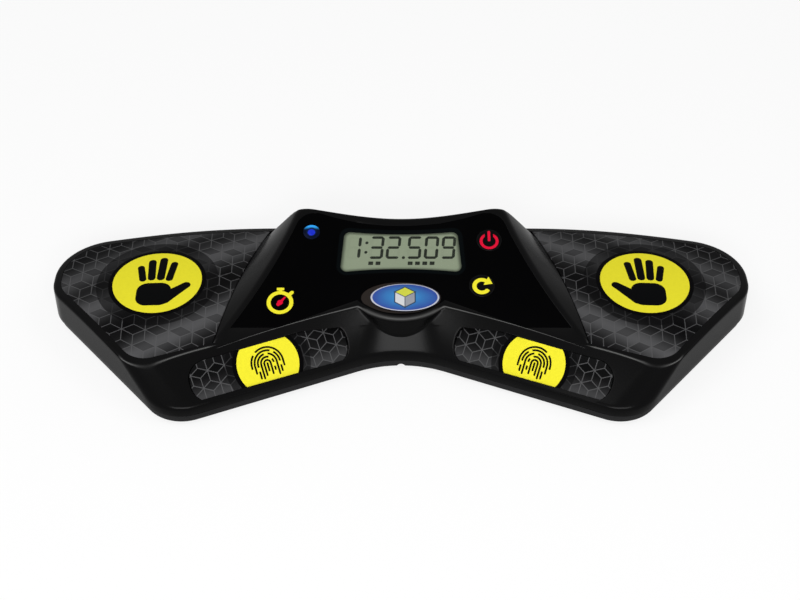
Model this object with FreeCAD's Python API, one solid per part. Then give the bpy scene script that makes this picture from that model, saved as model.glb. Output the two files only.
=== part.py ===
"""Two-handed touch timer for speed cubing: a boomerang-shaped housing with two hand pads on its
wings, two finger pads in its sloping front and a tilted console with a display.

Frame: millimetres, +Z up, +X to the user's right, -Y towards the user.  The origin lies on the
table under the middle of the housing's box.
"""
import FreeCAD, Part
import math
import os

Vector = FreeCAD.Vector

# ---------------------------------------------------------------- driving dimensions
# plan outline of the housing, left half, seen from above
HALF_SPAN = 144.4           # centre line to the tip of a wing
BACK_MIDDLE_Y = 29.6        # back edge on the centre line
BACK_KNEE_X = -0.54 * HALF_SPAN     # where the back edge starts to sweep forward
BACK_KNEE_Y = 26.0
TIP_BACK_Y = 15.6           # corner between the back edge and the tip
TIP_FRONT_Y = -13.8         # corner between the tip and the long side
SIDE_SLOPE = -1.188         # dy/dx of the long side of a wing
FRONT_SLOPE = 0.413         # dy/dx of the front edge
FRONT_MIDDLE_Y = -36.1      # where both front edges would meet
BACK_RADIUS = 450.0
TIP_BACK_RADIUS = 24.0
TIP_FRONT_RADIUS = 16.0
FRONT_CORNER_RADIUS = 18.0
FRONT_CORNER_TOP_RADIUS = 9.0
FRONT_VALLEY_RADIUS = 46.0
FRONT_VALLEY_TOP_RADIUS = 80.0
SMALLEST_RADIUS = 0.6       # of a corner that an inset would close

# heights
FOOT_HEIGHT = 1.0           # air under the base shell
SEAM_Z = 4.8                # top of the base shell's band
SEAM_GAP = 0.4
LIP_Z = 9.5                 # where the front stops being upright and starts to slope
TOP_Z = 41.0                # construction height of the skirt, above everything

# sloping front face: angle from the table near the wing's corner and near the nose
FACE_ANGLE_WING = 31.5
FACE_ANGLE_NOSE = 50.0
FACE_WING_X = -85.0
FACE_NOSE_X = -18.9

# crowned wing tops
CROWN_X = -75.0
CROWN_Y = -18.0
CROWN_Z = 23.3
CROWN_LONG_RADIUS = 700.0
CROWN_CROSS_RADIUS = 220.0
CROWN_SPAN = 62.0           # half size of the block that the crowned surface is cut from

# tilted console plane, through the front of the nose
NOSE_Y = -28.8
NOSE_Z = 26.0
CONSOLE_TILT = 15.5
CREST_SHAPE = (49.2, -0.445, 0.00275)   # half width of the console's top at y: a + b y + c y y
FOOT_SHAPE = (63.9, -0.30, -0.0011)     # half width of the console's foot at y, likewise
CONSOLE_STATIONS = (-50.0, -10.0, 30.0)
FOOT_SINK = 0.4             # how far the console's foot line lies under the wings' surface
OVERRUN = 0.25              # share by which the leaning sides run past the console plane
FOOT_INSET = 1.8            # how far the foot and the crest move in per millimetre of wall
CREST_INSET = 0.7
BLOCK_LEVELS = ((-61.1, 29.9, 26.7, 10.0), (-41.8, 17.8, 9.0, 41.0))     # corner x, y, radius, z
BLOCK_SPLAY = 0.445
BLOCK_FRONT_Y = -62.0
BLOCK_FRONT_RADIUS = 1.0
REAR_RADIUS = 114.0         # plan radius of the hollow back edge of the console
REAR_Y = 11.7               # that edge on the centre line
REAR_Z = 37.2
REAR_LEAN = 0.657           # how far the back wall leans out per millimetre it drops
REAR_INSET = 1.2            # how far it moves in per millimetre of wall
REAR_TOP = TOP_Z + 5.0
POD_RADIUS = 28.9           # nose
POD_Y = -6.4

REACH = 1.4 * HALF_SPAN     # half size of the blocks that cut and clip the form
PAST = 1.0                  # how far a cutter runs past the face that it opens
CONSOLE_CUT = 12.0          # depth of the openings in the console

WALL = 2.2
FACE_WALL_FACTOR = 1.45     # horizontal thickness of the sloping front per unit of wall
CLEAR = 0.3                 # between pieces that move past each other
SNUG = 0.1                  # between pieces that only sit in each other
GLUE = 0.05                 # adhesive under the films

# faces round a small round piece
PIN_SIDES = 8               # hidden pins, posts and their holes
DISC_SIDES = 24             # feet, cells and touch plates

# printed films
FILM = 0.5
PAD_LEVEL = 0.84            # share of the crown's height at which the pad's outline is taken
PAD_RIM = 3.3               # housing rim left around a hand pad
PAD_STEP = 0.6              # depth of the recess for a film

# finger pads in the front face
SLOT_ANGLE = 40.5           # tilt of the slot's flat floor, as the twisted face has at its middle
SLOT_DEPTH = 1.3            # from the front face to the slot's floor, at its middle
SLOT_FLOOR = 1.8            # wall behind the slot
SLOT_LENGTH = 65.8
SLOT_HEIGHT = 15.8
SLOT_ROUND = 7.0
SLOT_ALONG = 15.7           # slot centre along the face from its reference point
SLOT_UP = 8.9
SLOT_REF = (-64.5, -62.7)
SLOT_REACH = 12.0           # how far the slot's cutter runs either way

# touch electrodes
HAND_X = -0.696 * HALF_SPAN
HAND_Y = -12.2
HAND_ELECTRODE_R = 17.0
ELECTRODE = 0.5
FINGER_ELECTRODE_R = 7.5
FINGER_ALONG = 14.9         # middle of the finger disc from the slot's reference point
FINGER_UP = 9.0

# faceplate and what shows through it, in console coordinates (across, up the slope)
PLATE = 1.0
PLATE_SIDE_RIM = 2.3
PLATE_BACK_RIM = 4.0
PLATE_FRONT_RIM = 2.2
PLATE_CORNER_R = 4.0
PLATE_LOW_Y = -38.9
PLATE_FRONT_X = -49.8
PLATE_FRONT_SLOPE = 0.39
PLATE_NOSE_SHARE = 0.6      # where the front edge enters the nose, in nose radii
WINDOW_TOP_S = 35.1
WINDOW_LOW_S = 16.0
WINDOW_TOP_HALF = 22.7
WINDOW_LOW_HALF = 23.7
WINDOW_LAP = 0.4            # how far the frame reaches under the window
WINDOW_WAIST = 1.9          # how far the long edges bow inwards
WINDOW_ROUND = 2.6
WINDOW_MARGIN = 1.9         # width of the bevelled frame around the glass
FRAME_DEPTH = 2.2
LCD = (52.0, 25.6, 1.8)
BOARD = (88.0, 36.0, 1.6)
BOARD_LOW_S = 4.0
BOARD_DEPTH = 7.0           # from the console plane to the board's upper face
STRIP = (46.0, 2.4)
LIGHT_XS = (-37.1, 35.1)
LIGHT_R = 3.5
LIGHT_PROUD = 0.4
LAMP_R = 1.5
LAMP_FLANGE_R = 1.9
LAMP_FLANGE = 0.8
POWER_XS = (36.4, 31.0)
RESET_XS = (32.9, 9.1)
KEY_R = 5.2
KEY_FLANGE_R = 6.3
KEY_FLANGE = 1.0
KEY_TRAVEL = 0.5
KEY_STEM_R = 2.4
KEY_BOTTOM = 5.0            # depth of the key's stem below the console plane
KEY_LAP = 0.1               # overlap of the key's cap and flange
PLUNGER_R = 1.6
SWITCH = (6.0, 6.0)
SWITCH_HEIGHT = 1.4
SWITCH_WELL = 0.3           # floor under the switch's well
BADGE_S = 3.5
BADGE_HALF = (14.6, 6.5)
BADGE_SEAT_HALF = (15.6, 7.2)
BADGE_PROUD = 0.2

# base shell
BASE_BACK_INSET = 0.8
BASE_SIDE_INSET = 1.2
BASE_FRONT_INSET = 0.2
BASE_FLOOR = 2.2
BASE_CHAMFER = 1.0
TONGUE = 1.3
TONGUE_TOP = 7.2
NOTCH_WIDTH = 3.7
NOTCH_HEIGHT = 2.0
NOTCH_DEPTH = 12.0
BITE = 0.5                  # how far ribs and posts grow into the floor that carries them

# battery bay
BAY_Y = 1.0
CELL_R = 5.2
CELL_LENGTH = 44.0
CELL_PITCH = 11.2
BAY_LENGTH = 54.0
BAY_WIDTH = 24.0
BAY_TOP = 15.4
BAY_WALL = 1.8
BAY_LEDGE = 0.5             # rim that the door closes against
DOOR_WIDTH = 48.0
DOOR_FLANGE = 2.0
DOOR_PLATE = 1.1
DOOR_THICK = 2.0
DOOR_FRONT_Y = -12.0
DOOR_BACK_Y = 26.2
GRIP_HALF = 9.0             # thumb grip of the door: half length, first groove, pitch, width
GRIP_Y = 16.0
GRIP_PITCH = 2.2
GRIP_WIDTH = 0.9
GRIP_DEPTH = 0.4
GRIP_COUNT = 4
CONTACT = 0.4               # sheet of the battery contacts
CONTACT_HALF = 4.5
TAB_HALF = 2.0
TAB_HEIGHT = 1.1
NIPPLE_R = 1.8
NIPPLE = 1.0
COIL_WIRE = 0.35
COIL_TURNS = 3.0
COIL_SECTIONS = 10          # sections per turn
COIL_SIDES = 4              # sides of the wire's section
COIL_BIG_R = 3.4
COIL_SMALL_R = 2.0

# data socket in the back wall
JACK_X = -38.0
JACK_Z = 12.0
JACK_BORE_R = 1.8
JACK_DEPTH = 14.0
JACK_COLLAR_R = 3.0
JACK_BODY = (8.0, 12.0, 8.0)
JACK_GAP = 0.4              # between the socket's body and the back wall
CRADLE_WALL = 1.5
CRADLE_BACK = 2.0

# feet and fasteners
FOOT_R = 5.0
FOOT_THICK = 1.6
FOOT_SPOTS = ((-0.88, -8.0), (-0.623, -53.0), (-0.485, 13.0))    # share of the half span, y
SCREW_SPOTS = ((-0.859, -14.0), (-0.402, 15.0))                  # likewise
NOSE_SCREW_Y = -28.6
SCREW_R = 1.25
SCREW_HOLE = 0.25           # clearance of its hole in the base
SCREW_HEAD_R = 2.6
SCREW_HEAD = 1.5
SCREW_TOP = 15.0
SCREW_ROOM = 0.5            # free depth past its tip
DRIVE_HALF = 1.6            # slot of the screw's head
DRIVE_WIDTH = 0.7
DRIVE_DEPTH = 0.7
PILLAR_R = 4.2
PILLAR_TOP = 8.0
BOSS_R = 3.6
BOARD_BOSS_SPOTS = ((41.0, 21.0), (23.0, 7.4))
BOARD_BOSS_R = 2.8
BOARD_SCREW_R = 0.9
BOARD_SCREW_HEAD_R = 1.9
BOARD_SCREW_HEAD = 1.2
BOARD_SCREW_GAP = 0.5       # from a screw's tip to the plate's underside
BOARD_HOLE = 0.2            # clearance of a screw in the board


# ---------------------------------------------------------------- outlines
def mirrored(corners):
    """The same corners on the right-hand side, in reverse order."""
    return [(-x, y, r) for x, y, r in reversed(corners)]


def meet(point_a, slope_a, point_b, slope_b):
    """Where two sloping lines cross in plan."""
    x = (point_b[1] - point_a[1] + slope_a * point_a[0] - slope_b * point_b[0]) / (slope_a - slope_b)
    return x, point_a[1] + slope_a * (x - point_a[0])


def skirt_corners(level):
    """Corners (x, y, radius) of the housing's outline, anticlockwise from the back middle.

    Level 0 is the upright skirt, level 1 the same outline at TOP_Z, where the sloping front face
    has run back by its height over the tangent of its angle.
    """
    tip = (-HALF_SPAN, TIP_FRONT_Y)
    middle = (0.0, FRONT_MIDDLE_Y)
    slope = FRONT_SLOPE
    corner_r, valley_r = FRONT_CORNER_RADIUS, FRONT_VALLEY_RADIUS
    if level:
        length = math.hypot(1.0, FRONT_SLOPE)
        run_dir = (-FRONT_SLOPE / length, 1.0 / length)
        ends = []
        for x, angle in ((FACE_WING_X, FACE_ANGLE_WING), (FACE_NOSE_X, FACE_ANGLE_NOSE)):
            run = (TOP_Z - LIP_Z) / math.tan(math.radians(angle))
            y = FRONT_MIDDLE_Y + FRONT_SLOPE * x
            ends.append((x + run * run_dir[0], y + run * run_dir[1]))
        slope = (ends[1][1] - ends[0][1]) / (ends[1][0] - ends[0][0])
        middle = (0.0, ends[1][1] - slope * ends[1][0])
        corner_r, valley_r = FRONT_CORNER_TOP_RADIUS, FRONT_VALLEY_TOP_RADIUS
    front = meet(tip, SIDE_SLOPE, middle, slope)
    left = [(BACK_KNEE_X, BACK_KNEE_Y, BACK_RADIUS),
            (-HALF_SPAN, TIP_BACK_Y, TIP_BACK_RADIUS),
            (tip[0], tip[1], TIP_FRONT_RADIUS),
            (front[0], front[1], corner_r)]
    return [(0.0, BACK_MIDDLE_Y, BACK_RADIUS)] + left + [(0.0, middle[1], valley_r)] + mirrored(left)


def turn_at(corners, i):
    """Turn of the outline at corner i, positive where it is convex."""
    ax, ay, _ = corners[i - 1]
    bx, by, _ = corners[i]
    cx, cy, _ = corners[(i + 1) % len(corners)]
    return (bx - ax) * (cy - by) - (by - ay) * (cx - bx)


def inset(corners, depths):
    """Move every side of an outline inwards, side i running from corner i to the next one."""
    count = len(corners)
    if not isinstance(depths, (list, tuple)):
        depths = [depths] * count
    lines = []
    for i in range(count):
        ax, ay, _ = corners[i]
        bx, by, _ = corners[(i + 1) % count]
        length = math.hypot(bx - ax, by - ay)
        nx, ny = -(by - ay) / length, (bx - ax) / length
        lines.append((nx, ny, nx * ax + ny * ay + depths[i]))
    result = []
    for i in range(count):
        n1x, n1y, d1 = lines[i - 1]
        n2x, n2y, d2 = lines[i]
        det = n1x * n2y - n1y * n2x
        x = (d1 * n2y - d2 * n1y) / det
        y = (n1x * d2 - n2x * d1) / det
        step = max(depths[i - 1], depths[i])
        radius = corners[i][2] - step if turn_at(corners, i) > 0 else corners[i][2] + step
        result.append((x, y, max(radius, SMALLEST_RADIUS)))
    return result


def rounded_wire(corners, z):
    """Closed wire of straight sides joined by tangent arcs."""
    count = len(corners)
    starts, mids, ends = [], [], []
    for i in range(count):
        p = Vector(corners[i][0], corners[i][1], z)
        a = Vector(corners[i - 1][0], corners[i - 1][1], z) - p
        b = Vector(corners[(i + 1) % count][0], corners[(i + 1) % count][1], z) - p
        a.normalize()
        b.normalize()
        half = a.getAngle(b) / 2.0
        radius = corners[i][2]
        reach = radius / math.tan(half)
        bisector = a + b
        bisector.normalize()
        starts.append(p + a * reach)
        mids.append(p + bisector * (radius / math.sin(half) - radius))
        ends.append(p + b * reach)
    edges = []
    for i in range(count):
        edges.append(Part.Arc(starts[i], mids[i], ends[i]).toShape())
        edges.append(Part.LineSegment(ends[i], starts[(i + 1) % count]).toShape())
    return Part.Wire(edges)


def prism(corners, z0, z1):
    """Upright solid of an outline."""
    face = Part.Face(rounded_wire(corners, z0))
    return face.extrude(Vector(0, 0, z1 - z0))


def arc_through(a, b, c):
    """Circular edge through three points."""
    return Part.Arc(a, b, c).toShape()


def rounded_box(cx, cy, width, depth, radius, z0, z1):
    """Upright box with rounded corners."""
    w, d = width / 2.0, depth / 2.0
    corners = [(cx + w, cy + d, radius), (cx - w, cy + d, radius),
               (cx - w, cy - d, radius), (cx + w, cy - d, radius)]
    return prism(corners, z0, z1)


def box(x0, x1, y0, y1, z0, z1):
    """Plain block between two corners."""
    return Part.makeBox(x1 - x0, y1 - y0, z1 - z0, Vector(x0, y0, z0))


def cylinder(x, y, z0, z1, radius):
    """Upright cylinder."""
    return Part.makeCylinder(radius, z1 - z0, Vector(x, y, z0))


def column(x, y, z0, z1, radius, sides):
    """Upright many-sided pin, measured over its corners, for small round pieces inside."""
    corners = []
    for i in range(sides):
        angle = 2 * math.pi * (i + 0.5) / sides
        corners.append(Vector(x + radius * math.cos(angle), y + radius * math.sin(angle), z0))
    return Part.Face(Part.makePolygon(corners + [corners[0]])).extrude(Vector(0, 0, z1 - z0))


def flipped(shape):
    """Mirror image across the centre plane."""
    return shape.mirror(Vector(0, 0, 0), Vector(1, 0, 0))


# ---------------------------------------------------------------- the housing's outer form
def front_sides(corners, front, rest):
    """One inset per side: `front` on the two front sides, `rest` elsewhere."""
    count = len(corners)
    depths = [rest] * count
    depths[4] = front
    depths[5] = front
    return depths


def skirt(depth, low_z):
    """Walls of the housing: upright up to the lip, then ruled to the construction height."""
    low = skirt_corners(0)
    high = skirt_corners(1)
    if depth:
        low = inset(low, depth)
        high = inset(high, front_sides(high, depth * FACE_WALL_FACTOR, depth))
    upper = Part.makeLoft([rounded_wire(low, LIP_Z), rounded_wire(high, TOP_Z)], True, True)
    return prism(low, low_z, LIP_Z).fuse(upper)


def crown(depth):
    """Ring-shaped solid whose top is the crowned surface of the left wing."""
    hub = Vector(CROWN_X, CROWN_Y, CROWN_Z - CROWN_LONG_RADIUS)
    ring = Part.makeTorus(CROWN_LONG_RADIUS - CROWN_CROSS_RADIUS, CROWN_CROSS_RADIUS - depth,
                          hub, Vector(0, 1, 0))
    ring.rotate(hub, Vector(0, 1, 0), 180.0)
    room = box(CROWN_X - REACH, CROWN_X + REACH, CROWN_Y - CROWN_SPAN, CROWN_Y + CROWN_SPAN,
               CROWN_Z - CROWN_SPAN, CROWN_Z + PAST)
    return ring.common(room)


def crown_z(x, y):
    """Height of the crowned surface."""
    reach = math.sqrt(CROWN_CROSS_RADIUS ** 2 - (y - CROWN_Y) ** 2) - CROWN_CROSS_RADIUS
    x_arm = (CROWN_LONG_RADIUS + reach) ** 2 - (-abs(x) - CROWN_X) ** 2
    return CROWN_Z - CROWN_LONG_RADIUS + math.sqrt(x_arm)


def console_z(y):
    """Height of the tilted console plane."""
    return NOSE_Z + math.tan(math.radians(CONSOLE_TILT)) * (y - NOSE_Y)


def crest_half(y):
    """Half width of the console's top."""
    return CREST_SHAPE[0] + CREST_SHAPE[1] * y + CREST_SHAPE[2] * y * y


def foot_half(y):
    """Half width of the console where it meets the wings."""
    return FOOT_SHAPE[0] + FOOT_SHAPE[1] * y + FOOT_SHAPE[2] * y * y


def console_section(y, depth):
    """Cross-section of the console at station y: upright foot, leaning sides run past the top."""
    foot = foot_half(y) - FOOT_INSET * depth
    crest = min(crest_half(y) - CREST_INSET * depth, foot - FOOT_SINK)
    top_z = console_z(y) - depth / math.cos(math.radians(CONSOLE_TILT))
    foot_z = min(crown_z(foot, y) - depth, top_z) - FOOT_SINK
    past_x = crest - OVERRUN * (foot - crest)
    past_z = top_z + OVERRUN * (top_z - foot_z)
    points = [Vector(-foot, y, LIP_Z), Vector(-foot, y, foot_z), Vector(-past_x, y, past_z),
              Vector(past_x, y, past_z), Vector(foot, y, foot_z), Vector(foot, y, LIP_Z)]
    return Part.makePolygon(points + [points[0]])


def console_block(depth):
    """Tapering block whose rounded back corners turn the console's sides into its back."""
    levels = []
    for corner_x, corner_y, radius, z in BLOCK_LEVELS:
        front_x = corner_x - BLOCK_SPLAY * (corner_y - BLOCK_FRONT_Y)
        corners = [(-corner_x, corner_y, radius), (corner_x, corner_y, radius),
                   (front_x, BLOCK_FRONT_Y, BLOCK_FRONT_RADIUS),
                   (-front_x, BLOCK_FRONT_Y, BLOCK_FRONT_RADIUS)]
        levels.append(rounded_wire(inset(corners, depth), z))
    return Part.makeLoft(levels, True, True)


def rear_cone(depth):
    """Cone that hollows the back of the console."""
    low = REAR_RADIUS - REAR_LEAN * REAR_Z + REAR_INSET * depth
    return Part.makeCone(low, low + REAR_LEAN * REAR_TOP, REAR_TOP, Vector(0, REAR_Y + REAR_RADIUS, 0))


def below_console(depth):
    """Everything under the console plane, sunk by depth."""
    return console_slab(-REACH - depth, -depth)


def to_console(shape):
    """Carry a shape from console coordinates (across, up the slope, out of it) to the housing."""
    placed = shape.copy()
    placed.rotate(Vector(0, 0, 0), Vector(1, 0, 0), CONSOLE_TILT)
    placed.translate(Vector(0, NOSE_Y, NOSE_Z))
    return placed


def left_half():
    """Room left of the centre plane."""
    return box(-REACH, 0, -REACH, REACH, 0, TOP_Z + REACH)


def behind(y):
    """Room behind a line across the housing."""
    return box(-REACH, REACH, y, y + REACH, 0, TOP_Z + REACH)


def housing_form(depth, low_z):
    """Closed outer form of the upper shell; depth sinks every surface inwards."""
    walls = skirt(depth, low_z)
    left = walls.common(crown(depth)).common(left_half())
    wings = left.fuse(flipped(left))
    wedge = Part.makeLoft([console_section(y, depth) for y in CONSOLE_STATIONS], True, False)
    console = wedge.common(below_console(depth)).common(console_block(depth))
    console = console.cut(rear_cone(depth)).common(walls)
    pod = cylinder(0, POD_Y, LIP_Z, TOP_Z, POD_RADIUS - depth).common(below_console(depth))
    pod = pod.cut(behind(POD_Y))
    return wings.fuse(console).fuse(pod)


# ---------------------------------------------------------------- local frames of the details
def slot_frame():
    """Origin and axes (along, up, out) of the left finger pad's slot."""
    length = math.hypot(1.0, FRONT_SLOPE)
    along = Vector(1.0 / length, FRONT_SLOPE / length, 0)
    angle = math.radians(SLOT_ANGLE)
    out = Vector(along.y * math.sin(angle), -along.x * math.sin(angle), math.cos(angle))
    up = out.cross(along)
    origin = Vector(SLOT_REF[0], SLOT_REF[1], LIP_Z)
    return origin + along * SLOT_ALONG + up * SLOT_UP, along, up, out


def to_slot(shape):
    """Carry a shape from slot coordinates to the left half of the front face."""
    origin, along, up, out = slot_frame()
    placed = shape.copy()
    placed.Placement = FreeCAD.Placement(FreeCAD.Matrix(along.x, up.x, out.x, origin.x,
                                                        along.y, up.y, out.y, origin.y,
                                                        along.z, up.z, out.z, origin.z,
                                                        0, 0, 0, 1))
    return placed


def slot_block(grow, low, high):
    """Rounded block through the slot, grown sideways, between two heights over the front's lip."""
    block = rounded_box(0, 0, SLOT_LENGTH + 2 * grow, SLOT_HEIGHT + 2 * grow, SLOT_ROUND + grow, low, high)
    return to_slot(block)


def console_disc(spot, radius, low, high):
    """Round pin square to the console plane, between two heights over it."""
    return to_console(cylinder(spot[0], spot[1], low, high, radius))


def console_pin(spot, radius, low, high):
    """Many-sided pin square to the console plane, between two heights over it."""
    return to_console(column(spot[0], spot[1], low, high, radius, PIN_SIDES))


def console_block_at(x, y, width, height, low, high):
    """Rectangular block square to the console plane."""
    return to_console(box(x - width / 2, x + width / 2, y - height / 2, y + height / 2, low, high))


def oval(half, low, high):
    """Oval block for the badge, square to the console plane."""
    edge = Part.Ellipse(Vector(0, BADGE_S, low), half[0], half[1]).toShape()
    solid = Part.Face(Part.Wire([edge])).extrude(Vector(0, 0, high - low))
    return to_console(solid)


def waisted_window(grow, low, high):
    """Display opening: a rounded trapezium whose long edges bow inwards."""
    top_half = WINDOW_TOP_HALF + grow
    low_half = WINDOW_LOW_HALF + grow
    top, bottom = WINDOW_TOP_S + grow, WINDOW_LOW_S - grow
    corners = [Vector(top_half, top, low), Vector(-top_half, top, low),
               Vector(-low_half, bottom, low), Vector(low_half, bottom, low)]
    edges = [arc_through(corners[0], Vector(0, top - WINDOW_WAIST, low), corners[1]),
             Part.LineSegment(corners[1], corners[2]).toShape(),
             arc_through(corners[2], Vector(0, bottom + WINDOW_WAIST, low), corners[3]),
             Part.LineSegment(corners[3], corners[0]).toShape()]
    solid = Part.Face(Part.Wire(edges)).extrude(Vector(0, 0, high - low))
    upright = [e for e in solid.Edges if abs(e.BoundBox.ZLength - (high - low)) < 1e-6]
    return to_console(solid.makeFillet(WINDOW_ROUND + grow, upright))


def plate_outline(grow, z0, z1):
    """Upright prism of the faceplate's plan, following the console's crest, front and nose."""
    def crest_x(y):
        return -(crest_half(y) - PLATE_SIDE_RIM + grow)

    rear_r = REAR_RADIUS + PLATE_BACK_RIM - grow
    rear_c = Vector(0, REAR_Y + REAR_RADIUS, z0)
    low_y = PLATE_LOW_Y - grow
    corner_x = crest_x(REAR_Y)
    corner_y = rear_c.y - math.sqrt(rear_r ** 2 - corner_x ** 2)
    low_x = crest_x(low_y)
    front_x = PLATE_FRONT_X - grow * FRONT_SLOPE
    nose_x = PLATE_NOSE_SHARE * POD_RADIUS
    nose_y = low_y + PLATE_FRONT_SLOPE * (-nose_x - front_x)
    mid_y = 0.5 * (corner_y + low_y)
    left = [Vector(corner_x, corner_y, z0), Vector(low_x, low_y, z0),
            Vector(front_x, low_y, z0), Vector(-nose_x, nose_y, z0)]
    right = [Vector(-v.x, v.y, v.z) for v in left]
    edges = [arc_through(left[0], Vector(crest_x(mid_y), mid_y, z0), left[1]),
             Part.LineSegment(left[1], left[2]).toShape(),
             Part.LineSegment(left[2], left[3]).toShape(),
             Part.LineSegment(left[3], right[3]).toShape(),
             Part.LineSegment(right[3], right[2]).toShape(),
             Part.LineSegment(right[2], right[1]).toShape(),
             arc_through(right[1], Vector(-crest_x(mid_y), mid_y, z0), right[0]),
             arc_through(right[0], Vector(0, rear_c.y - rear_r, z0), left[0])]
    prism_solid = Part.Face(Part.Wire(edges)).extrude(Vector(0, 0, z1 - z0))
    corners = [e for e in prism_solid.Edges
               if abs(e.BoundBox.ZLength - (z1 - z0)) < 1e-6 and e.BoundBox.YMin > 0]
    rounded = prism_solid.makeFillet(PLATE_CORNER_R + grow, corners)
    nose = cylinder(0, POD_Y, z0, z1, POD_RADIUS - PLATE_FRONT_RIM + grow)
    nose = nose.cut(behind(POD_Y))
    return rounded.fuse(nose).removeSplitter()


def console_slab(low, high):
    """Everything between two heights over the console plane."""
    return to_console(box(-REACH, REACH, -REACH, REACH, low, high))


# ---------------------------------------------------------------- sub-parts
def hand_pad_corners(extra):
    """Outline of the left hand pad, extra millimetres outside its own edge."""
    low = skirt_corners(0)
    high = skirt_corners(1)
    at = (CROWN_Z - LIP_Z) / (TOP_Z - LIP_Z) * PAD_LEVEL
    mixed = [(a[0] + (b[0] - a[0]) * at, a[1] + (b[1] - a[1]) * at, a[2] + (b[2] - a[2]) * at)
             for a, b in zip(low, high)]
    return inset(mixed, PAD_RIM - extra)


def console_side_block(grow):
    """Upright block over the console's foot line, which bounds the hand pads."""
    left, right = [], []
    for y in CONSOLE_STATIONS:
        left.append(Vector(-foot_half(y) - grow, y, 0))
        right.append(Vector(foot_half(y) + grow, y, 0))
    curve_left = Part.BSplineCurve()
    curve_left.interpolate(left)
    curve_right = Part.BSplineCurve()
    curve_right.interpolate(right)
    wire = Part.Wire([curve_left.toShape(), Part.LineSegment(left[-1], right[-1]).toShape(),
                      curve_right.toShape(), Part.LineSegment(right[0], left[0]).toShape()])
    return Part.Face(wire).extrude(Vector(0, 0, TOP_Z))


def hand_pad_region(extra):
    """Upright prism over the left hand pad."""
    prism_solid = prism(hand_pad_corners(extra), LIP_Z, TOP_Z)
    return prism_solid.common(left_half()).cut(console_side_block(-extra))


def crown_shell(region, top, bottom):
    """Curved sheet under the crowned surface, between two depths, within a region."""
    return region.common(crown(top)).cut(crown(bottom))


def hand_pad():
    """Printed film in its shallow recess on the left wing."""
    floor = PAD_STEP - GLUE
    return crown_shell(hand_pad_region(0.0), floor - FILM, floor)


def finger_pad():
    """Printed film, flat on the floor of the left slot."""
    return slot_block(-SNUG, GLUE - SLOT_DEPTH, GLUE - SLOT_DEPTH + FILM)


def hand_electrode():
    """Round touch plate glued flat under the left wing's crown, square to it."""
    out = Vector((HAND_X - CROWN_X) / CROWN_LONG_RADIUS, (HAND_Y - CROWN_Y) / CROWN_CROSS_RADIUS, 1)
    out.normalize()
    sag = HAND_ELECTRODE_R ** 2 / (2 * CROWN_CROSS_RADIUS)
    middle = Vector(HAND_X, HAND_Y, crown_z(HAND_X, HAND_Y)) - out * (WALL + sag + GLUE)
    plate = column(0, 0, -ELECTRODE, 0, HAND_ELECTRODE_R, DISC_SIDES)
    plate.Placement = FreeCAD.Placement(middle, FreeCAD.Rotation(Vector(0, 0, 1), out))
    return plate


def finger_electrode():
    """Touch plate glued flat behind the left slot's floor."""
    top = -SLOT_DEPTH - SLOT_FLOOR - GLUE
    disc_x, disc_y = FINGER_ALONG - SLOT_ALONG, FINGER_UP - SLOT_UP
    return to_slot(column(disc_x, disc_y, top - ELECTRODE, top, FINGER_ELECTRODE_R, DISC_SIDES))


def screw_spots():
    """All housing screws in plan."""
    spots = [(side * share * HALF_SPAN, y) for share, y in SCREW_SPOTS for side in (1, -1)]
    return spots + [(0.0, NOSE_SCREW_Y)]


def board_boss_spots():
    """All board screws, in console coordinates."""
    return [(side * x, y) for x, y in BOARD_BOSS_SPOTS for side in (1, -1)]


def jack_hole(radius, y0, y1):
    """Round hole or pin along the data socket's axis."""
    return Part.makeCylinder(radius, y1 - y0, Vector(JACK_X, y0, JACK_Z), Vector(0, 1, 0))


def back_edge_y(x):
    """Back edge of the housing at x, on its straight stretch."""
    slope = (BACK_MIDDLE_Y - BACK_KNEE_Y) / -BACK_KNEE_X
    return BACK_MIDDLE_Y - slope * abs(x)


def top_shell():
    """Upper moulding: skirt, wings, console and nose in one, hollow, with bosses."""
    seam = SEAM_Z + SEAM_GAP
    solid = housing_form(0.0, seam)
    hollow = housing_form(WALL, seam - PAST)
    bosses = [column(x, y, PILLAR_TOP + SNUG, TOP_Z, BOSS_R, PIN_SIDES) for x, y in screw_spots()]
    for spot in board_boss_spots():
        bosses.append(console_pin(spot, BOARD_BOSS_R, -BOARD_DEPTH, 0))
    backing = slot_block(SLOT_FLOOR, -SLOT_DEPTH - SLOT_FLOOR, 0.0)
    backing = backing.common(box(-REACH, 0, -REACH, REACH, PILLAR_TOP, TOP_Z))
    shell = solid.cut(hollow.cut(bosses[0].fuse(bosses[1:] + [backing, flipped(backing)])))
    slot = slot_block(0.0, -SLOT_DEPTH, SLOT_REACH)
    cuts = [slot, flipped(slot)]
    pad = hand_pad_region(SNUG).cut(crown(PAD_STEP))
    cuts += [pad, flipped(pad)]
    cuts.append(plate_outline(SNUG, 0, REACH).common(console_slab(-PLATE - GLUE, REACH)))
    cuts.append(waisted_window(WINDOW_MARGIN + SNUG, -CONSOLE_CUT, 0))
    cuts.append(console_disc(LIGHT_XS, LIGHT_R + SNUG, -CONSOLE_CUT, 0))
    for spot in (POWER_XS, RESET_XS):
        cuts.append(console_disc(spot, KEY_R + CLEAR, -CONSOLE_CUT, 0))
    for x, y in screw_spots():
        cuts.append(column(x, y, 0, SCREW_TOP + SCREW_ROOM, SCREW_R + GLUE, PIN_SIDES))
    for spot in board_boss_spots():
        cuts.append(console_pin(spot, BOARD_SCREW_R + GLUE, -BOARD_DEPTH - PAST, -PLATE - WALL))
    cuts.append(jack_hole(JACK_COLLAR_R + SNUG, 0, REACH))
    for cutter in cuts:
        shell = shell.cut(cutter)
    return shell


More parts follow.
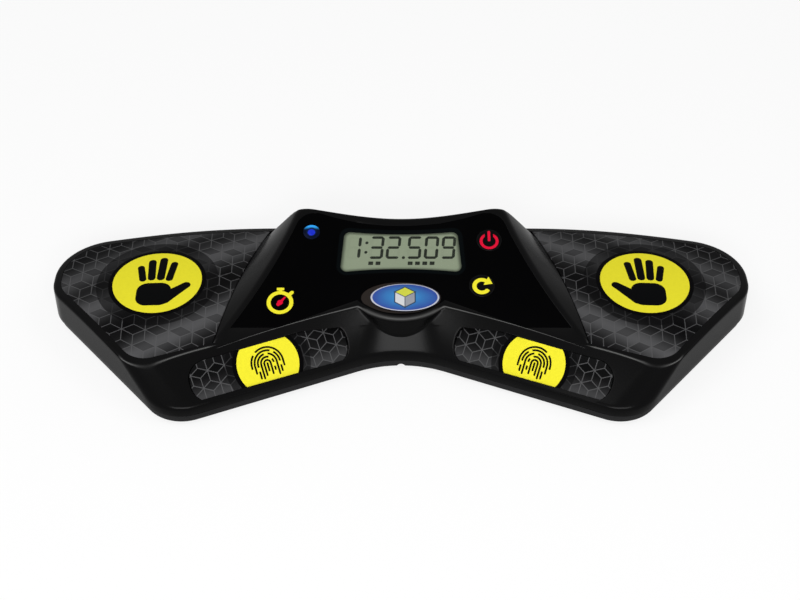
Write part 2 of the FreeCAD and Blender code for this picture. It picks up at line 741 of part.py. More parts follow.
def base_corners(extra):
    """Outline of the base shell's band, extra millimetres inside it."""
    corners = skirt_corners(0)
    back, side, front = BASE_BACK_INSET + extra, BASE_SIDE_INSET + extra, BASE_FRONT_INSET + extra
    return inset(corners, [back, back, side, side, front, front, side, side, back, back])


def door_shape(grow, y0, y1):
    """Battery door: a plate with a thinner, wider tongue along each side."""
    half = DOOR_WIDTH / 2.0 + grow
    low = FOOT_HEIGHT - (PAST if grow else 0.0)
    plate = box(-half, half, y0, y1, low, FOOT_HEIGHT + DOOR_PLATE + grow)
    tongue = box(-half - DOOR_FLANGE, half + DOOR_FLANGE, y0, y1,
                 FOOT_HEIGHT + DOOR_PLATE - grow, FOOT_HEIGHT + DOOR_THICK + grow)
    return plate.fuse(tongue).removeSplitter()


def jack_cradle(low_z):
    """Rib round the data socket's body, open above."""
    width, depth, height = JACK_BODY
    back = back_edge_y(JACK_X) - WALL - JACK_GAP
    rib = box(JACK_X - width / 2 - CRADLE_WALL, JACK_X + width / 2 + CRADLE_WALL,
              back - depth - CRADLE_BACK, back - TONGUE - PAST, low_z, JACK_Z)
    return rib.cut(box(JACK_X - width / 2 - SNUG, JACK_X + width / 2 + SNUG,
                       back - depth - SNUG, REACH, JACK_Z - height / 2 - SNUG, TOP_Z))


def base_shell():
    """Lower moulding: chamfered band, floor, tongue, screw pillars and battery bay."""
    low_wire = rounded_wire(base_corners(BASE_CHAMFER), FOOT_HEIGHT)
    mid_wire = rounded_wire(base_corners(0.0), FOOT_HEIGHT + BASE_CHAMFER)
    bottom = Part.makeLoft([low_wire, mid_wire], True, True)
    band = bottom.fuse(prism(base_corners(0.0), FOOT_HEIGHT + BASE_CHAMFER, SEAM_Z))
    floor_z = FOOT_HEIGHT + BASE_FLOOR
    skirt_inner = inset(skirt_corners(0), WALL + SNUG)
    tongue = prism(skirt_inner, floor_z, TONGUE_TOP)
    hollow = prism(inset(skirt_inner, TONGUE), floor_z, TOP_Z)
    body = band.fuse(tongue).cut(hollow)
    half_l, half_w = BAY_LENGTH / 2.0 + BAY_WALL, BAY_WIDTH / 2.0 + BAY_WALL
    low_z = FOOT_HEIGHT + BITE
    bay = box(-half_l, half_l, BAY_Y - half_w, BAY_Y + half_w, low_z, BAY_TOP + BAY_WALL)
    pillars = [column(x, y, low_z, PILLAR_TOP, PILLAR_R, PIN_SIDES) for x, y in screw_spots()]
    body = body.fuse([bay, jack_cradle(floor_z - BITE)] + pillars)
    cuts = [box(-BAY_LENGTH / 2, BAY_LENGTH / 2, BAY_Y - BAY_WIDTH / 2, BAY_Y + BAY_WIDTH / 2,
                FOOT_HEIGHT + DOOR_THICK, BAY_TOP)]
    cuts.append(box(BAY_LEDGE - DOOR_WIDTH / 2, DOOR_WIDTH / 2 - BAY_LEDGE, BAY_Y - BAY_WIDTH / 2,
                    BAY_Y + BAY_WIDTH / 2, 0, BAY_TOP))
    cuts.append(door_shape(CLEAR, DOOR_FRONT_Y - CLEAR, REACH))
    for x, y in screw_spots():
        cuts.append(column(x, y, 0, PILLAR_TOP + PAST, SCREW_R + SCREW_HOLE, PIN_SIDES))
        cuts.append(column(x, y, 0, FOOT_HEIGHT + BASE_FLOOR, SCREW_HEAD_R + CLEAR, DISC_SIDES))
    for x, y in foot_spots():
        cuts.append(column(x, y, 0, FOOT_THICK, FOOT_R + SNUG, DISC_SIDES))
    notch_z = FOOT_HEIGHT + NOTCH_HEIGHT - NOTCH_WIDTH / 2
    cuts.append(Part.makeCylinder(NOTCH_WIDTH / 2, NOTCH_DEPTH,
                                  Vector(0, FRONT_MIDDLE_Y + WALL - NOTCH_DEPTH, notch_z), Vector(0, 1, 0)))
    cuts.append(jack_hole(JACK_COLLAR_R + SNUG, 0, REACH))
    return body.cut(cuts[0].fuse(cuts[1:]))


def foot_spots():
    """All rubber feet in plan."""
    return [(side * share * HALF_SPAN, y) for share, y in FOOT_SPOTS for side in (1, -1)]


def battery_door():
    """Sliding battery door with a ribbed thumb grip."""
    door = door_shape(0.0, DOOR_FRONT_Y, DOOR_BACK_Y)
    for i in range(GRIP_COUNT):
        y = GRIP_Y + i * GRIP_PITCH
        door = door.cut(box(-GRIP_HALF, GRIP_HALF, y, y + GRIP_WIDTH, 0, FOOT_HEIGHT + GRIP_DEPTH))
    return door


def battery_cell(row):
    """One AAA cell, its positive end to the right in row 0 and to the left in row 1."""
    y = BAY_Y + (row - 0.5) * CELL_PITCH
    z = FOOT_HEIGHT + DOOR_THICK + CLEAR + CELL_R
    half = CELL_LENGTH / 2
    cell = column(0, 0, -half, half, CELL_R, DISC_SIDES)
    cell = cell.fuse(column(0, 0, half, half + NIPPLE, NIPPLE_R, PIN_SIDES))
    cell.rotate(Vector(0, 0, 0), Vector(0, 1, 0), 90)
    cell.translate(Vector(0, y, z))
    return flipped(cell) if row else cell


def battery_plate(row):
    """Flat contact that a cell's positive end presses on, with its tab on the bay's wall."""
    y = BAY_Y + (row - 0.5) * CELL_PITCH
    face = CELL_LENGTH / 2 + NIPPLE + GLUE
    back = face + CONTACT
    low, high = FOOT_HEIGHT + DOOR_THICK + CLEAR + BITE, BAY_TOP - SNUG
    plate = box(face, back, y - CONTACT_HALF, y + CONTACT_HALF, low, high)
    plate = plate.fuse(box(back, BAY_LENGTH / 2, y - TAB_HALF, y + TAB_HALF, high - TAB_HEIGHT, high))
    return flipped(plate) if row else plate


def battery_coil(row):
    """Conical coil spring on its own flat base, pressing on a cell's negative end."""
    y = BAY_Y + (row - 0.5) * CELL_PITCH
    z = FOOT_HEIGHT + DOOR_THICK + CLEAR + CELL_R
    base_x = BAY_LENGTH / 2 - CONTACT
    tip_x = CELL_LENGTH / 2 + COIL_WIRE + GLUE
    count = int(round(COIL_TURNS * COIL_SECTIONS))
    start_x = base_x - COIL_WIRE / 2
    rings = []
    for i in range(count + 1):
        turn = 2 * math.pi * i / COIL_SECTIONS
        radius = COIL_BIG_R + (COIL_SMALL_R - COIL_BIG_R) * i / count
        x = start_x + (tip_x - start_x) * i / count
        ring = []
        for k in range(COIL_SIDES + 1):
            angle = 2 * math.pi * k / COIL_SIDES
            reach = radius + COIL_WIRE * math.cos(angle)
            ring.append(Vector(x + COIL_WIRE * math.sin(angle),
                               y + reach * math.cos(turn), z + reach * math.sin(turn)))
        rings.append(Part.makePolygon(ring))
    coil = Part.makeLoft(rings, True, True)
    spring = coil.fuse(box(base_x, BAY_LENGTH / 2, y - CONTACT_HALF, y + CONTACT_HALF,
                           z - CONTACT_HALF, z + CONTACT_HALF))
    return spring if row else flipped(spring)


def faceplate():
    """Glossy overlay of the console, with openings for the display, keys, light and badge."""
    plate = plate_outline(0.0, 0, REACH).common(console_slab(-PLATE, 0))
    low = -PLATE - PAST
    cuts = [waisted_window(0.0, low, PAST), oval(BADGE_SEAT_HALF, low, PAST),
            console_disc(LIGHT_XS, LIGHT_R + SNUG, low, PAST)]
    for spot in (POWER_XS, RESET_XS):
        cuts.append(console_disc(spot, KEY_R + CLEAR / 2, low, PAST))
    return plate.cut(cuts[0].fuse(cuts[1:]))


def badge():
    """Oval medallion in its seat on the nose, generic."""
    return oval(BADGE_HALF, -PLATE, BADGE_PROUD)


def display_window():
    """Clear window flush in the faceplate."""
    return waisted_window(-SNUG, -PLATE, -SNUG)


def display_frame():
    """Bevelled frame between the window and the display glass."""
    ring = waisted_window(WINDOW_MARGIN, -PLATE - FRAME_DEPTH, -PLATE - GLUE)
    return ring.cut(waisted_window(-WINDOW_LAP, -PLATE - FRAME_DEPTH - PAST, 0))


def display_centre():
    """Middle of the display up the slope."""
    return 0.5 * (WINDOW_TOP_S + WINDOW_LOW_S)


def display_glass():
    """Liquid-crystal display cell behind the frame."""
    high = -PLATE - FRAME_DEPTH
    return console_block_at(0, display_centre(), LCD[0], LCD[1], high - LCD[2], high)


def display_strip(row):
    """Rubber connector strip between the display cell and the board."""
    side = 1 if row else -1
    s = display_centre() + side * (LCD[1] - STRIP[1]) / 2
    return console_block_at(0, s, STRIP[0], STRIP[1], -BOARD_DEPTH, -PLATE - FRAME_DEPTH - LCD[2])


def circuit_board():
    """Main circuit board, parallel to the console's top."""
    mid = BOARD_LOW_S + BOARD[1] / 2
    board = console_block_at(0, mid, BOARD[0], BOARD[1], -BOARD_DEPTH - BOARD[2], -BOARD_DEPTH)
    holes = [console_pin(spot, BOARD_SCREW_R + BOARD_HOLE, -CONSOLE_CUT, 0) for spot in board_boss_spots()]
    return board.cut(holes[0].fuse(holes[1:]))


def key_cap(spot):
    """Round key: cap in the faceplate, retaining flange under the shell, stem to the switch."""
    flange_top = -PLATE - WALL - CLEAR
    cap = console_disc(spot, KEY_R, flange_top - KEY_LAP, 0)
    flange = console_pin(spot, KEY_FLANGE_R, flange_top - KEY_FLANGE, flange_top)
    stem = console_pin(spot, KEY_STEM_R, -KEY_BOTTOM, flange_top)
    return cap.fuse([flange, stem])


def switch_body(spot):
    """Tact switch on the board, with a well for its plunger."""
    top = -BOARD_DEPTH + SWITCH_HEIGHT
    body = console_block_at(spot[0], spot[1], SWITCH[0], SWITCH[1], -BOARD_DEPTH, top)
    return body.cut(console_pin(spot, PLUNGER_R + CLEAR, SWITCH_WELL - BOARD_DEPTH, 0))


def switch_plunger(spot):
    """Plunger of a tact switch, pushed by the key's stem."""
    return console_pin(spot, PLUNGER_R, SWITCH_WELL + SNUG + KEY_TRAVEL - BOARD_DEPTH, -KEY_BOTTOM)


def status_light():
    """Clear round lens of the status light, a little proud of the faceplate."""
    lens = cylinder(LIGHT_XS[0], LIGHT_XS[1], -PLATE - WALL, LIGHT_PROUD, LIGHT_R)
    rim = [e for e in lens.Edges if e.BoundBox.ZMin > LIGHT_PROUD - 0.01]
    return to_console(lens.makeChamfer(LIGHT_PROUD - SNUG, rim))


def status_lamp():
    """Light-emitting diode on the board under the lens."""
    low, high = -BOARD_DEPTH, -PLATE - WALL - CLEAR
    flange = console_pin(LIGHT_XS, LAMP_FLANGE_R, low, low + LAMP_FLANGE)
    return flange.fuse(console_pin(LIGHT_XS, LAMP_R, low, high))


def data_socket():
    """Round data socket in the back wall, with its collar and body."""
    back = back_edge_y(JACK_X)
    body_y = back - WALL - JACK_GAP
    w, d, h = JACK_BODY
    body = box(JACK_X - w / 2, JACK_X + w / 2, body_y - d, body_y, JACK_Z - h / 2, JACK_Z + h / 2)
    collar = jack_hole(JACK_COLLAR_R, body_y, back)
    return body.fuse(collar).cut(jack_hole(JACK_BORE_R, back - JACK_DEPTH, back + PAST))


def foot(spot):
    """Rubber foot, glued in a round recess of the base shell."""
    return column(spot[0], spot[1], 0, FOOT_THICK - GLUE, FOOT_R, DISC_SIDES)


def housing_screws():
    """Screws from below through the base shell into the top shell's bosses."""
    screws = []
    for x, y in screw_spots():
        head_z = FOOT_HEIGHT + BASE_FLOOR
        head = column(x, y, head_z - SCREW_HEAD, head_z, SCREW_HEAD_R, PIN_SIDES)
        drive = box(x - DRIVE_HALF, x + DRIVE_HALF, y - DRIVE_WIDTH / 2, y + DRIVE_WIDTH / 2,
                    0, head_z - SCREW_HEAD + DRIVE_DEPTH)
        screws.append(head.fuse(column(x, y, head_z, SCREW_TOP, SCREW_R, PIN_SIDES)).cut(drive))
    return Part.makeCompound(screws)


def board_screws():
    """Small screws that hold the board to the console's bosses."""
    screws = []
    low = -BOARD_DEPTH - BOARD[2]
    for spot in board_boss_spots():
        head = console_pin(spot, BOARD_SCREW_HEAD_R, low - BOARD_SCREW_HEAD, low)
        screws.append(head.fuse(console_pin(spot, BOARD_SCREW_R, low, -PLATE - WALL - BOARD_SCREW_GAP)))
    return Part.makeCompound(screws)


PARTS = {
    "top_shell": top_shell,
    "base_shell": base_shell,
    "faceplate": faceplate,
    "badge": badge,
    "display_window": display_window,
    "display_frame": display_frame,
    "display_glass": display_glass,
    "display_strip_front": lambda: display_strip(0),
    "display_strip_back": lambda: display_strip(1),
    "circuit_board": circuit_board,
    "board_screws": board_screws,
    "power_key": lambda: key_cap(POWER_XS),
    "reset_key": lambda: key_cap(RESET_XS),
    "power_switch": lambda: switch_body(POWER_XS),
    "reset_switch": lambda: switch_body(RESET_XS),
    "power_plunger": lambda: switch_plunger(POWER_XS),
    "reset_plunger": lambda: switch_plunger(RESET_XS),
    "status_light": status_light,
    "status_lamp": status_lamp,
    "hand_pad_left": hand_pad,
    "hand_pad_right": lambda: flipped(hand_pad()),
    "finger_pad_left": finger_pad,
    "finger_pad_right": lambda: flipped(finger_pad()),
    "hand_electrode_left": hand_electrode,
    "hand_electrode_right": lambda: flipped(hand_electrode()),
    "finger_electrode_left": finger_electrode,
    "finger_electrode_right": lambda: flipped(finger_electrode()),
    "battery_door": battery_door,
    "battery_cell_front": lambda: battery_cell(0),
    "battery_cell_back": lambda: battery_cell(1),
    "battery_plate_front": lambda: battery_plate(0),
    "battery_plate_back": lambda: battery_plate(1),
    "battery_coil_front": lambda: battery_coil(0),
    "battery_coil_back": lambda: battery_coil(1),
    "data_socket": data_socket,
    "housing_screws": housing_screws,
}
for index, spot in enumerate(foot_spots()):
    PARTS["foot_%d" % (index + 1)] = lambda spot=spot: foot(spot)

os.makedirs("parts", exist_ok=True)
plan = rounded_wire(skirt_corners(0), 0).BoundBox
to_origin = Vector(0, -(plan.YMin + plan.YMax) / 2, 0)
print("outline's middle moved by %.3f mm along Y" % to_origin.y)
for name, make in PARTS.items():
    shape = make()
    shape.translate(to_origin)
    shape.exportStep("parts/%s.step" % name)
    print("%-24s solids %2d  valid %s  volume %9.1f" % (name, len(shape.Solids), shape.isValid(), shape.Volume))
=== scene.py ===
"""Finishes of a two-handed cube timer: housing, printed touch pads, console, keys and underside."""
import math

import bpy
import bmesh
import numpy as np
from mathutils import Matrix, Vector


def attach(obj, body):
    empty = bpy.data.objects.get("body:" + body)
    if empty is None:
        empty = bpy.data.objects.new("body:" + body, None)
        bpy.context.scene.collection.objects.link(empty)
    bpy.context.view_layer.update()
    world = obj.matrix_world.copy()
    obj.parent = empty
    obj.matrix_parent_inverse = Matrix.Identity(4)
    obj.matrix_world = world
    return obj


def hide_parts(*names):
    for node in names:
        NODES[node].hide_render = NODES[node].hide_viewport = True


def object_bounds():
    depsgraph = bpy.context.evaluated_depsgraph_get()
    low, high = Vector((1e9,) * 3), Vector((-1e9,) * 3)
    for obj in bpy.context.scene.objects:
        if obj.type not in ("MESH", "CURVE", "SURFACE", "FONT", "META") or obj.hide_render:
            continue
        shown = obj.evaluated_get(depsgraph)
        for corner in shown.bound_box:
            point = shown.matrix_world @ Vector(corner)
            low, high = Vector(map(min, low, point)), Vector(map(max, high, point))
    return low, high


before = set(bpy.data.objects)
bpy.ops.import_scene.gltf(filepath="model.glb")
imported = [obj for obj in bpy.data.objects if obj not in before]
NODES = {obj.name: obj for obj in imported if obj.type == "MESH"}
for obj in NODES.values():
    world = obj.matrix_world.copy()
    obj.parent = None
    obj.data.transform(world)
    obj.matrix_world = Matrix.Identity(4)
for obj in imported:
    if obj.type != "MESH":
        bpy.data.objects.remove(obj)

CAD_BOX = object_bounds()

bl_info = {
    "name": "Cube Timer Builder",
    "version": (1, 0, 0),
    "blender": (4, 5, 0),
    "location": "3D View > Sidebar > Cube Timer",
    "description": "Builds the visible surfaces and finishes of a two-handed cube timer",
    "category": "Object",
}

MM = 0.001

# ------------------------------------------------------------------ housing, in millimetres
# Plan outline of the left half, seen from above, before the middle of its box is moved to Y 0.
HALF_SPAN = 144.4
BACK_MIDDLE_Y, BACK_KNEE = 29.6, (-78.0, 26.0)
TIP_BACK_Y, TIP_FRONT_Y = 15.6, -13.8
SIDE_SLOPE, FRONT_SLOPE, FRONT_MIDDLE_Y = -1.188, 0.413, -36.1
BACK_RADIUS, TIP_BACK_RADIUS, TIP_FRONT_RADIUS = 450.0, 24.0, 16.0
CORNER_RADII, VALLEY_RADII = (18.0, 9.0), (46.0, 34.0)      # at the lip, at the construction height
LIP_Z, TOP_Z = 9.5, 41.0
FOOT_Z, SEAM_Z, SEAM_GAP = 1.0, 4.8, 0.4
FACE_ANGLES = ((-85.0, 31.5), (-18.9, 46.5))                # across, slope of the front face
CROWN_SPOT, CROWN_Z, CROWN_RADII = (-75.0, -18.0), 23.3, (700.0, 220.0)
# console: a tilted plane with leaning sides, a hollow back and a round nose
NOSE_Y, NOSE_Z, CONSOLE_TILT = -28.8, 26.0, math.radians(15.5)
CREST_HALF, FOOT_HALF = (49.2, -0.445, 0.00275), (63.9, -0.30, -0.0011)
FOOT_SINK = 0.4
BLOCK_LOW, BLOCK_HIGH = (61.1, 29.9, 26.7, 10.0), (41.8, 17.8, 9.0, 41.0)
BLOCK_SPLAY = 0.445
REAR_RADIUS, REAR_Y, REAR_Z, REAR_LEAN = 92.0, 11.7, 37.2, 0.657
POD_RADIUS, POD_Y = 28.9, -6.4
BACK_ROUND = 8.0                       # rounding between the flanks and the hollow back
FRONT_PROUD, FRONT_ROUND = 0.02, 1.2   # console over the sloping front, and its rounding beside it
POD_STEP, POD_ROUND = 1.0, 0.35        # how far the nose runs into the console, and its fillet
# pads
PAD_RIM, PAD_FRONT_RIM, PAD_LEVEL, PAD_STEP, FILM = 3.3, 1.9, 0.84, 0.6, 0.5
PALM_SPOT = (-100.7, -11.3)
SLOT_SIZE, SLOT_ROUND, SLOT_DEPTH = (65.8, 16.9), 7.5, 1.3
GLUE_TOP = 0.05 - SLOT_DEPTH + FILM    # height of a finger film over the slot's plane
SLOT_ANGLE, SLOT_AT, SLOT_REF = math.radians(40.5), (15.7, 8.6), (-64.5, -62.7)
FINGER_SPOT = (15.1 - SLOT_AT[0], 8.5 - SLOT_AT[1])
# console furniture: across, up the slope from the nose
PLATE, PLATE_RIMS = 1.0, (2.3, 4.0, 2.2)                   # thickness; rims beside, behind, at the nose
PLATE_CORNER, PLATE_SLOPE, PLATE_ROUND = (49.8, -38.9), 0.39, 8.0
LIGHT_SPOT, POWER_SPOT, RESET_SPOT, BADGE_SPOT = (-37.1, 35.1), (36.4, 31.0), (32.9, 9.1), (0.0, 3.5)
KEY_R, LIGHT_R = 5.2, 3.5
BADGE_HALF, SEAT_HALF, BADGE_ASIDE, SEAT_DEPTH = (14.2, 6.5), (16.2, 7.4), 1.6, 0.32
WINDOW_LOW, WINDOW_TOP = (25.1, 15.7), (23.4, 35.6)         # corners of the display opening
WINDOW_WAIST, WINDOW_ROUND, WINDOW_BORDER = 1.4, 3.0, 1.9
DISPLAY_DEPTH, DIGITS_UP = 0.5, 27.75                       # under the console's plane; middle of the figures
MARK_SPOT, MARK_R = (-49.0, 1.2), 7.6                       # watch symbol, and its own patch of the overlay
# base
BASE_INSETS, BASE_CHAMFER = (0.8, 1.2, 0.2), 1.0
NOTCH, NOTCH_REACH = (1.85, 2.0), 2.4                       # half width and height; finely cut from here
DOOR_JAMB = 26.2                                            # half width of the door's opening behind
SOCKET, SOCKET_DEPTH = (-38.0, 12.0, 3.05), 1.8             # across, height and radius; depth of its rim
SOCKET_REACH = 4.6                                          # half side of the wall's part made anew round it
FEET = ((-127.0, -8.0), (-90.0, -53.0), (-70.0, 13.0))

ARC_STEPS, SIDE_STEPS = 16, 40         # points along each corner and each side of an outline
LATTICE_EDGE = 5.55                    # edge of the printed lattice's rhombi as first drawn


# ------------------------------------------------------------------ settings a user may change
class CubeTimerSizes(bpy.types.PropertyGroup):
    rim_round: bpy.props.FloatProperty(
        name="Wing rim radius",
        description="Rounding between a wing's top and its wall at the tip and behind",
        default=1.5 * MM, min=0.2 * MM, max=2.0 * MM, unit="LENGTH")
    crest_round: bpy.props.FloatProperty(
        name="Console rim radius", description="Rounding between the console's top and its sides",
        default=1.8 * MM, min=0.2 * MM, max=2.2 * MM, unit="LENGTH")
    brow_round: bpy.props.FloatProperty(
        name="Front edge radius", description="Rounding along the top edge of the sloping front",
        default=0.7 * MM, min=0.2 * MM, max=1.5 * MM, unit="LENGTH")
    lip_round: bpy.props.FloatProperty(
        name="Front lip radius", description="Rounding between the upright front and its slope",
        default=1.0 * MM, min=0.2 * MM, max=3.0 * MM, unit="LENGTH")
    palm_disc: bpy.props.FloatProperty(
        name="Palm disc radius", description="Yellow disc printed on each hand pad",
        default=18.45 * MM, min=10 * MM, max=24 * MM, unit="LENGTH")
    finger_disc: bpy.props.FloatProperty(
        name="Finger disc radius", description="Yellow disc printed on each finger pad",
        default=12.75 * MM, min=8 * MM, max=16 * MM, unit="LENGTH")
    lattice: bpy.props.FloatProperty(
        name="Lattice edge", description="Edge length of the printed cube lattice",
        default=LATTICE_EDGE * MM, min=3 * MM, max=9 * MM, unit="LENGTH")
    digit_height: bpy.props.FloatProperty(
        name="Digit height", description="Height of the display's figures",
        default=11.0 * MM, min=6 * MM, max=12 * MM, unit="LENGTH")


def colour_property(name, description, red, green, blue):
    """Linear colour that a user may change."""
    return bpy.props.FloatVectorProperty(name=name, description=description, subtype="COLOR", size=3,
                                         min=0.0, max=1.0, default=(red, green, blue))


class CubeTimerColours(bpy.types.PropertyGroup):
    shell: colour_property("Housing", "Satin moulded housing", 0.0016, 0.0016, 0.0017)
    base: colour_property("Base", "Matt base moulding", 0.010, 0.010, 0.0105)
    plate: colour_property("Overlay", "Glossy console overlay", 0.0006, 0.0006, 0.0007)
    film_dark: colour_property("Film, dark", "Darkest cube face of the printed film", 0.0014, 0.0014, 0.0015)
    film_light: colour_property("Film, light", "Lightest cube face of the printed film", 0.090, 0.090, 0.093)
    film_line: colour_property("Film lines", "Lines of the printed lattice", 0.080, 0.080, 0.082)
    yellow: colour_property("Yellow print", "Discs of the touch pads", 0.70, 0.64, 0.027)
    lcd: colour_property("Display", "Reflective ground of the display", 0.212, 0.250, 0.172)
    segment: colour_property("Segments", "Figures of the display", 0.014, 0.017, 0.012)
    power: colour_property("Power symbol", "Print on the power key", 0.58, 0.005, 0.03)
    reset: colour_property("Reset symbol", "Print on the reset key", 0.70, 0.64, 0.027)
    light: colour_property("Status light", "Tinted lens of the status light", 0.008, 0.02, 0.42)


def sizes():
    """The user's sizes."""
    return bpy.context.scene.cube_timer_sizes


def colours():
    """The user's colours."""
    return bpy.context.scene.cube_timer_colours


# ------------------------------------------------------------------ outlines
def unit(rows):
    """Rows of vectors scaled to length one."""
    return rows / np.linalg.norm(rows, axis=-1, keepdims=True)


def skirt_corners(level):
    """Corners (x, y, radius) of the housing, anticlockwise from the back middle.

    Level 0 is the upright skirt; level 1 is the outline at TOP_Z, where the sloping front has run
    back by its height over the tangent of its angle.
    """
    middle, slope = FRONT_MIDDLE_Y, FRONT_SLOPE
    if level:
        length = math.hypot(1.0, FRONT_SLOPE)
        ends = []
        for x, angle in FACE_ANGLES:
            run = (TOP_Z - LIP_Z) / math.tan(math.radians(angle)) / length
            ends.append((x - FRONT_SLOPE * run, FRONT_MIDDLE_Y + FRONT_SLOPE * x + run))
        slope = (ends[1][1] - ends[0][1]) / (ends[1][0] - ends[0][0])
        middle = ends[1][1] - slope * ends[1][0]
    front_x = (middle - TIP_FRONT_Y - SIDE_SLOPE * HALF_SPAN) / (SIDE_SLOPE - slope)
    left = [(BACK_KNEE[0], BACK_KNEE[1], BACK_RADIUS),
            (-HALF_SPAN, TIP_BACK_Y, TIP_BACK_RADIUS),
            (-HALF_SPAN, TIP_FRONT_Y, TIP_FRONT_RADIUS),
            (front_x, middle + slope * front_x, CORNER_RADII[level])]
    right = [(-x, y, r) for x, y, r in reversed(left)]
    return [(0.0, BACK_MIDDLE_Y, BACK_RADIUS)] + left + [(0.0, middle, VALLEY_RADII[level])] + right


def inset(corners, depths):
    """Outline with every side moved inwards; side i runs from corner i to the next one."""
    table = np.array(corners)
    spots, radii = table[:, :2], table[:, 2]
    depths = np.broadcast_to(np.asarray(depths, float), radii.shape)
    along = unit(np.roll(spots, -1, 0) - spots)
    inward = np.stack([-along[:, 1], along[:, 0]], 1)
    level = (inward * spots).sum(1) + depths
    before, level_before = np.roll(inward, 1, 0), np.roll(level, 1)
    det = before[:, 0] * inward[:, 1] - before[:, 1] * inward[:, 0]
    x = (level_before * inward[:, 1] - level * before[:, 1]) / det
    y = (before[:, 0] * level - inward[:, 0] * level_before) / det
    step = np.maximum(np.roll(depths, 1), depths)
    radii = np.maximum(np.where(det > 0, radii - step, radii + step), 0.6)
    return list(zip(x, y, radii))


def rounded_loop(corners, arc_steps=ARC_STEPS, side_steps=SIDE_STEPS):
    """Closed outline as points: at each corner its arc, then the straight run to the next arc.

    A point of an arc is the centre plus the two end spokes weighted by the sines of the angles
    that are left and gone, over the sine of the whole angle.
    """
    table = np.array(corners)
    spots, radii = table[:, :2], table[:, 2:]
    to_last = unit(np.roll(spots, 1, 0) - spots)
    to_next = unit(np.roll(spots, -1, 0) - spots)
    half = np.arccos(np.clip((to_last * to_next).sum(1, keepdims=True), -1, 1)) / 2
    start = spots + to_last * radii / np.tan(half)
    end = spots + to_next * radii / np.tan(half)
    centre = spots + unit(to_last + to_next) * radii / np.sin(half)
    turn = (math.pi - 2 * half)[:, None]
    share = np.linspace(0, 1, arc_steps, endpoint=False)[None, :, None]
    arcs = centre[:, None] + (np.sin((1 - share) * turn) * (start - centre)[:, None]
                              + np.sin(share * turn) * (end - centre)[:, None]) / np.sin(turn)
    share = np.linspace(0, 1, side_steps, endpoint=False)[None, :, None]
    sides = end[:, None] + share * (np.roll(start, -1, 0) - end)[:, None]
    return np.concatenate([arcs, sides], 1).reshape(-1, 2)


def left_half(loop):
    """The part of an outline from the back middle round the left wing to the front middle."""
    first = ARC_STEPS // 2
    return loop[first:first + len(loop) // 2 + 1]


def run_lengths(points):
    """Length gone along a line at each of its points."""
    return np.concatenate([[0], np.cumsum(np.linalg.norm(np.diff(points, axis=0), axis=1))])


def resampled(points, count):
    """An open line cut into equal lengths, last point left out."""
    gone = run_lengths(points)
    marks = np.linspace(0, gone[-1], count, endpoint=False)
    return np.stack([np.interp(marks, gone, points[:, i]) for i in range(points.shape[1])], 1)


LOW = left_half(rounded_loop(skirt_corners(0)))
HIGH = left_half(rounded_loop(skirt_corners(1)))
SHIFT_Y = -(LOW[:, 1].min() + LOW[:, 1].max()) / 2


# ------------------------------------------------------------------ heights and gaps of the form
def crown_z(x, y):
    """Height of a wing: a ring's top, so a long arc across plus a shorter arc from front to back."""
    long_r, cross_r = CROWN_RADII
    drop = np.sqrt(np.maximum(cross_r ** 2 - (y - CROWN_SPOT[1]) ** 2, 0)) - cross_r
    arm = (long_r + drop) ** 2 - (-np.abs(x) - CROWN_SPOT[0]) ** 2
    return CROWN_Z - long_r + np.sqrt(np.maximum(arm, 0))


def console_z(y):
    """Height of the tilted console plane."""
    return NOSE_Z + math.tan(CONSOLE_TILT) * (y - NOSE_Y)


def half_width(numbers, y):
    """Half width of the console as a parabola over Y, from its three numbers."""
    return numbers[0] + numbers[1] * y + numbers[2] * y * y


def on_plan(plan, z):
    """Plan points lifted to a height."""
    return np.concatenate([plan, np.broadcast_to(z, plan.shape[:-1])[..., None]], -1)


def wall_at(low, high, z):
    """Point of the housing's wall at height z: upright below the lip, ruled from low to high above."""
    share = np.maximum((z - LIP_Z) / (TOP_Z - LIP_Z), 0.0)
    return on_plan(low + share[..., None] * (high - low), z)


def bisected(gap, low, high, rounds=42):
    """Where gap falls from positive to negative between two arrays, by halving the span."""
    low, high = np.array(low, float), np.array(high, float)
    for _ in range(rounds):
        middle = (low + high) / 2
        inside = gap(middle) > 0
        low, high = np.where(inside, middle, low), np.where(inside, high, middle)
    return (low + high) / 2


FRONT_RISE, FRONT_REACH = 1.7, 90.0        # the table's span in height share and in X
FRONT_SHARES, FRONT_ACROSS = np.linspace(0.0, FRONT_RISE, 52), np.linspace(-FRONT_REACH, 0.0, 361)


def front_table():
    """Y of the sloping front over a grid of height share and X, from the points that rule it."""
    front = (LOW[:, 1] < -20) & (LOW[:, 0] > -112)
    low, high = LOW[front], HIGH[front]
    lines = low + FRONT_SHARES[:, None, None] * (high - low)
    return np.stack([np.interp(FRONT_ACROSS, line[:, 0], line[:, 1]) for line in lines])


FRONT_Y = front_table()


def front_gap(x, y, z):
    """How far a point lies behind the sloping front: its Y less the front's, read between four
    neighbours of the table, and shortened by the front's angle in plan."""
    share = np.clip((z - LIP_Z) / (TOP_Z - LIP_Z), 0.0, FRONT_RISE - 0.01)
    across, share = np.clip(-np.abs(x), -FRONT_REACH, -0.001), np.broadcast_to(share, np.shape(y))
    row = share / FRONT_RISE * (len(FRONT_SHARES) - 1)
    column = (across + FRONT_REACH) / FRONT_REACH * (len(FRONT_ACROSS) - 1)
    i, j = row.astype(int), column.astype(int)
    u, v = row - i, column - j
    edge = ((1 - u) * ((1 - v) * FRONT_Y[i, j] + v * FRONT_Y[i, j + 1])
            + u * ((1 - v) * FRONT_Y[i + 1, j] + v * FRONT_Y[i + 1, j + 1]))
    return (y - edge) / math.hypot(1.0, FRONT_SLOPE)


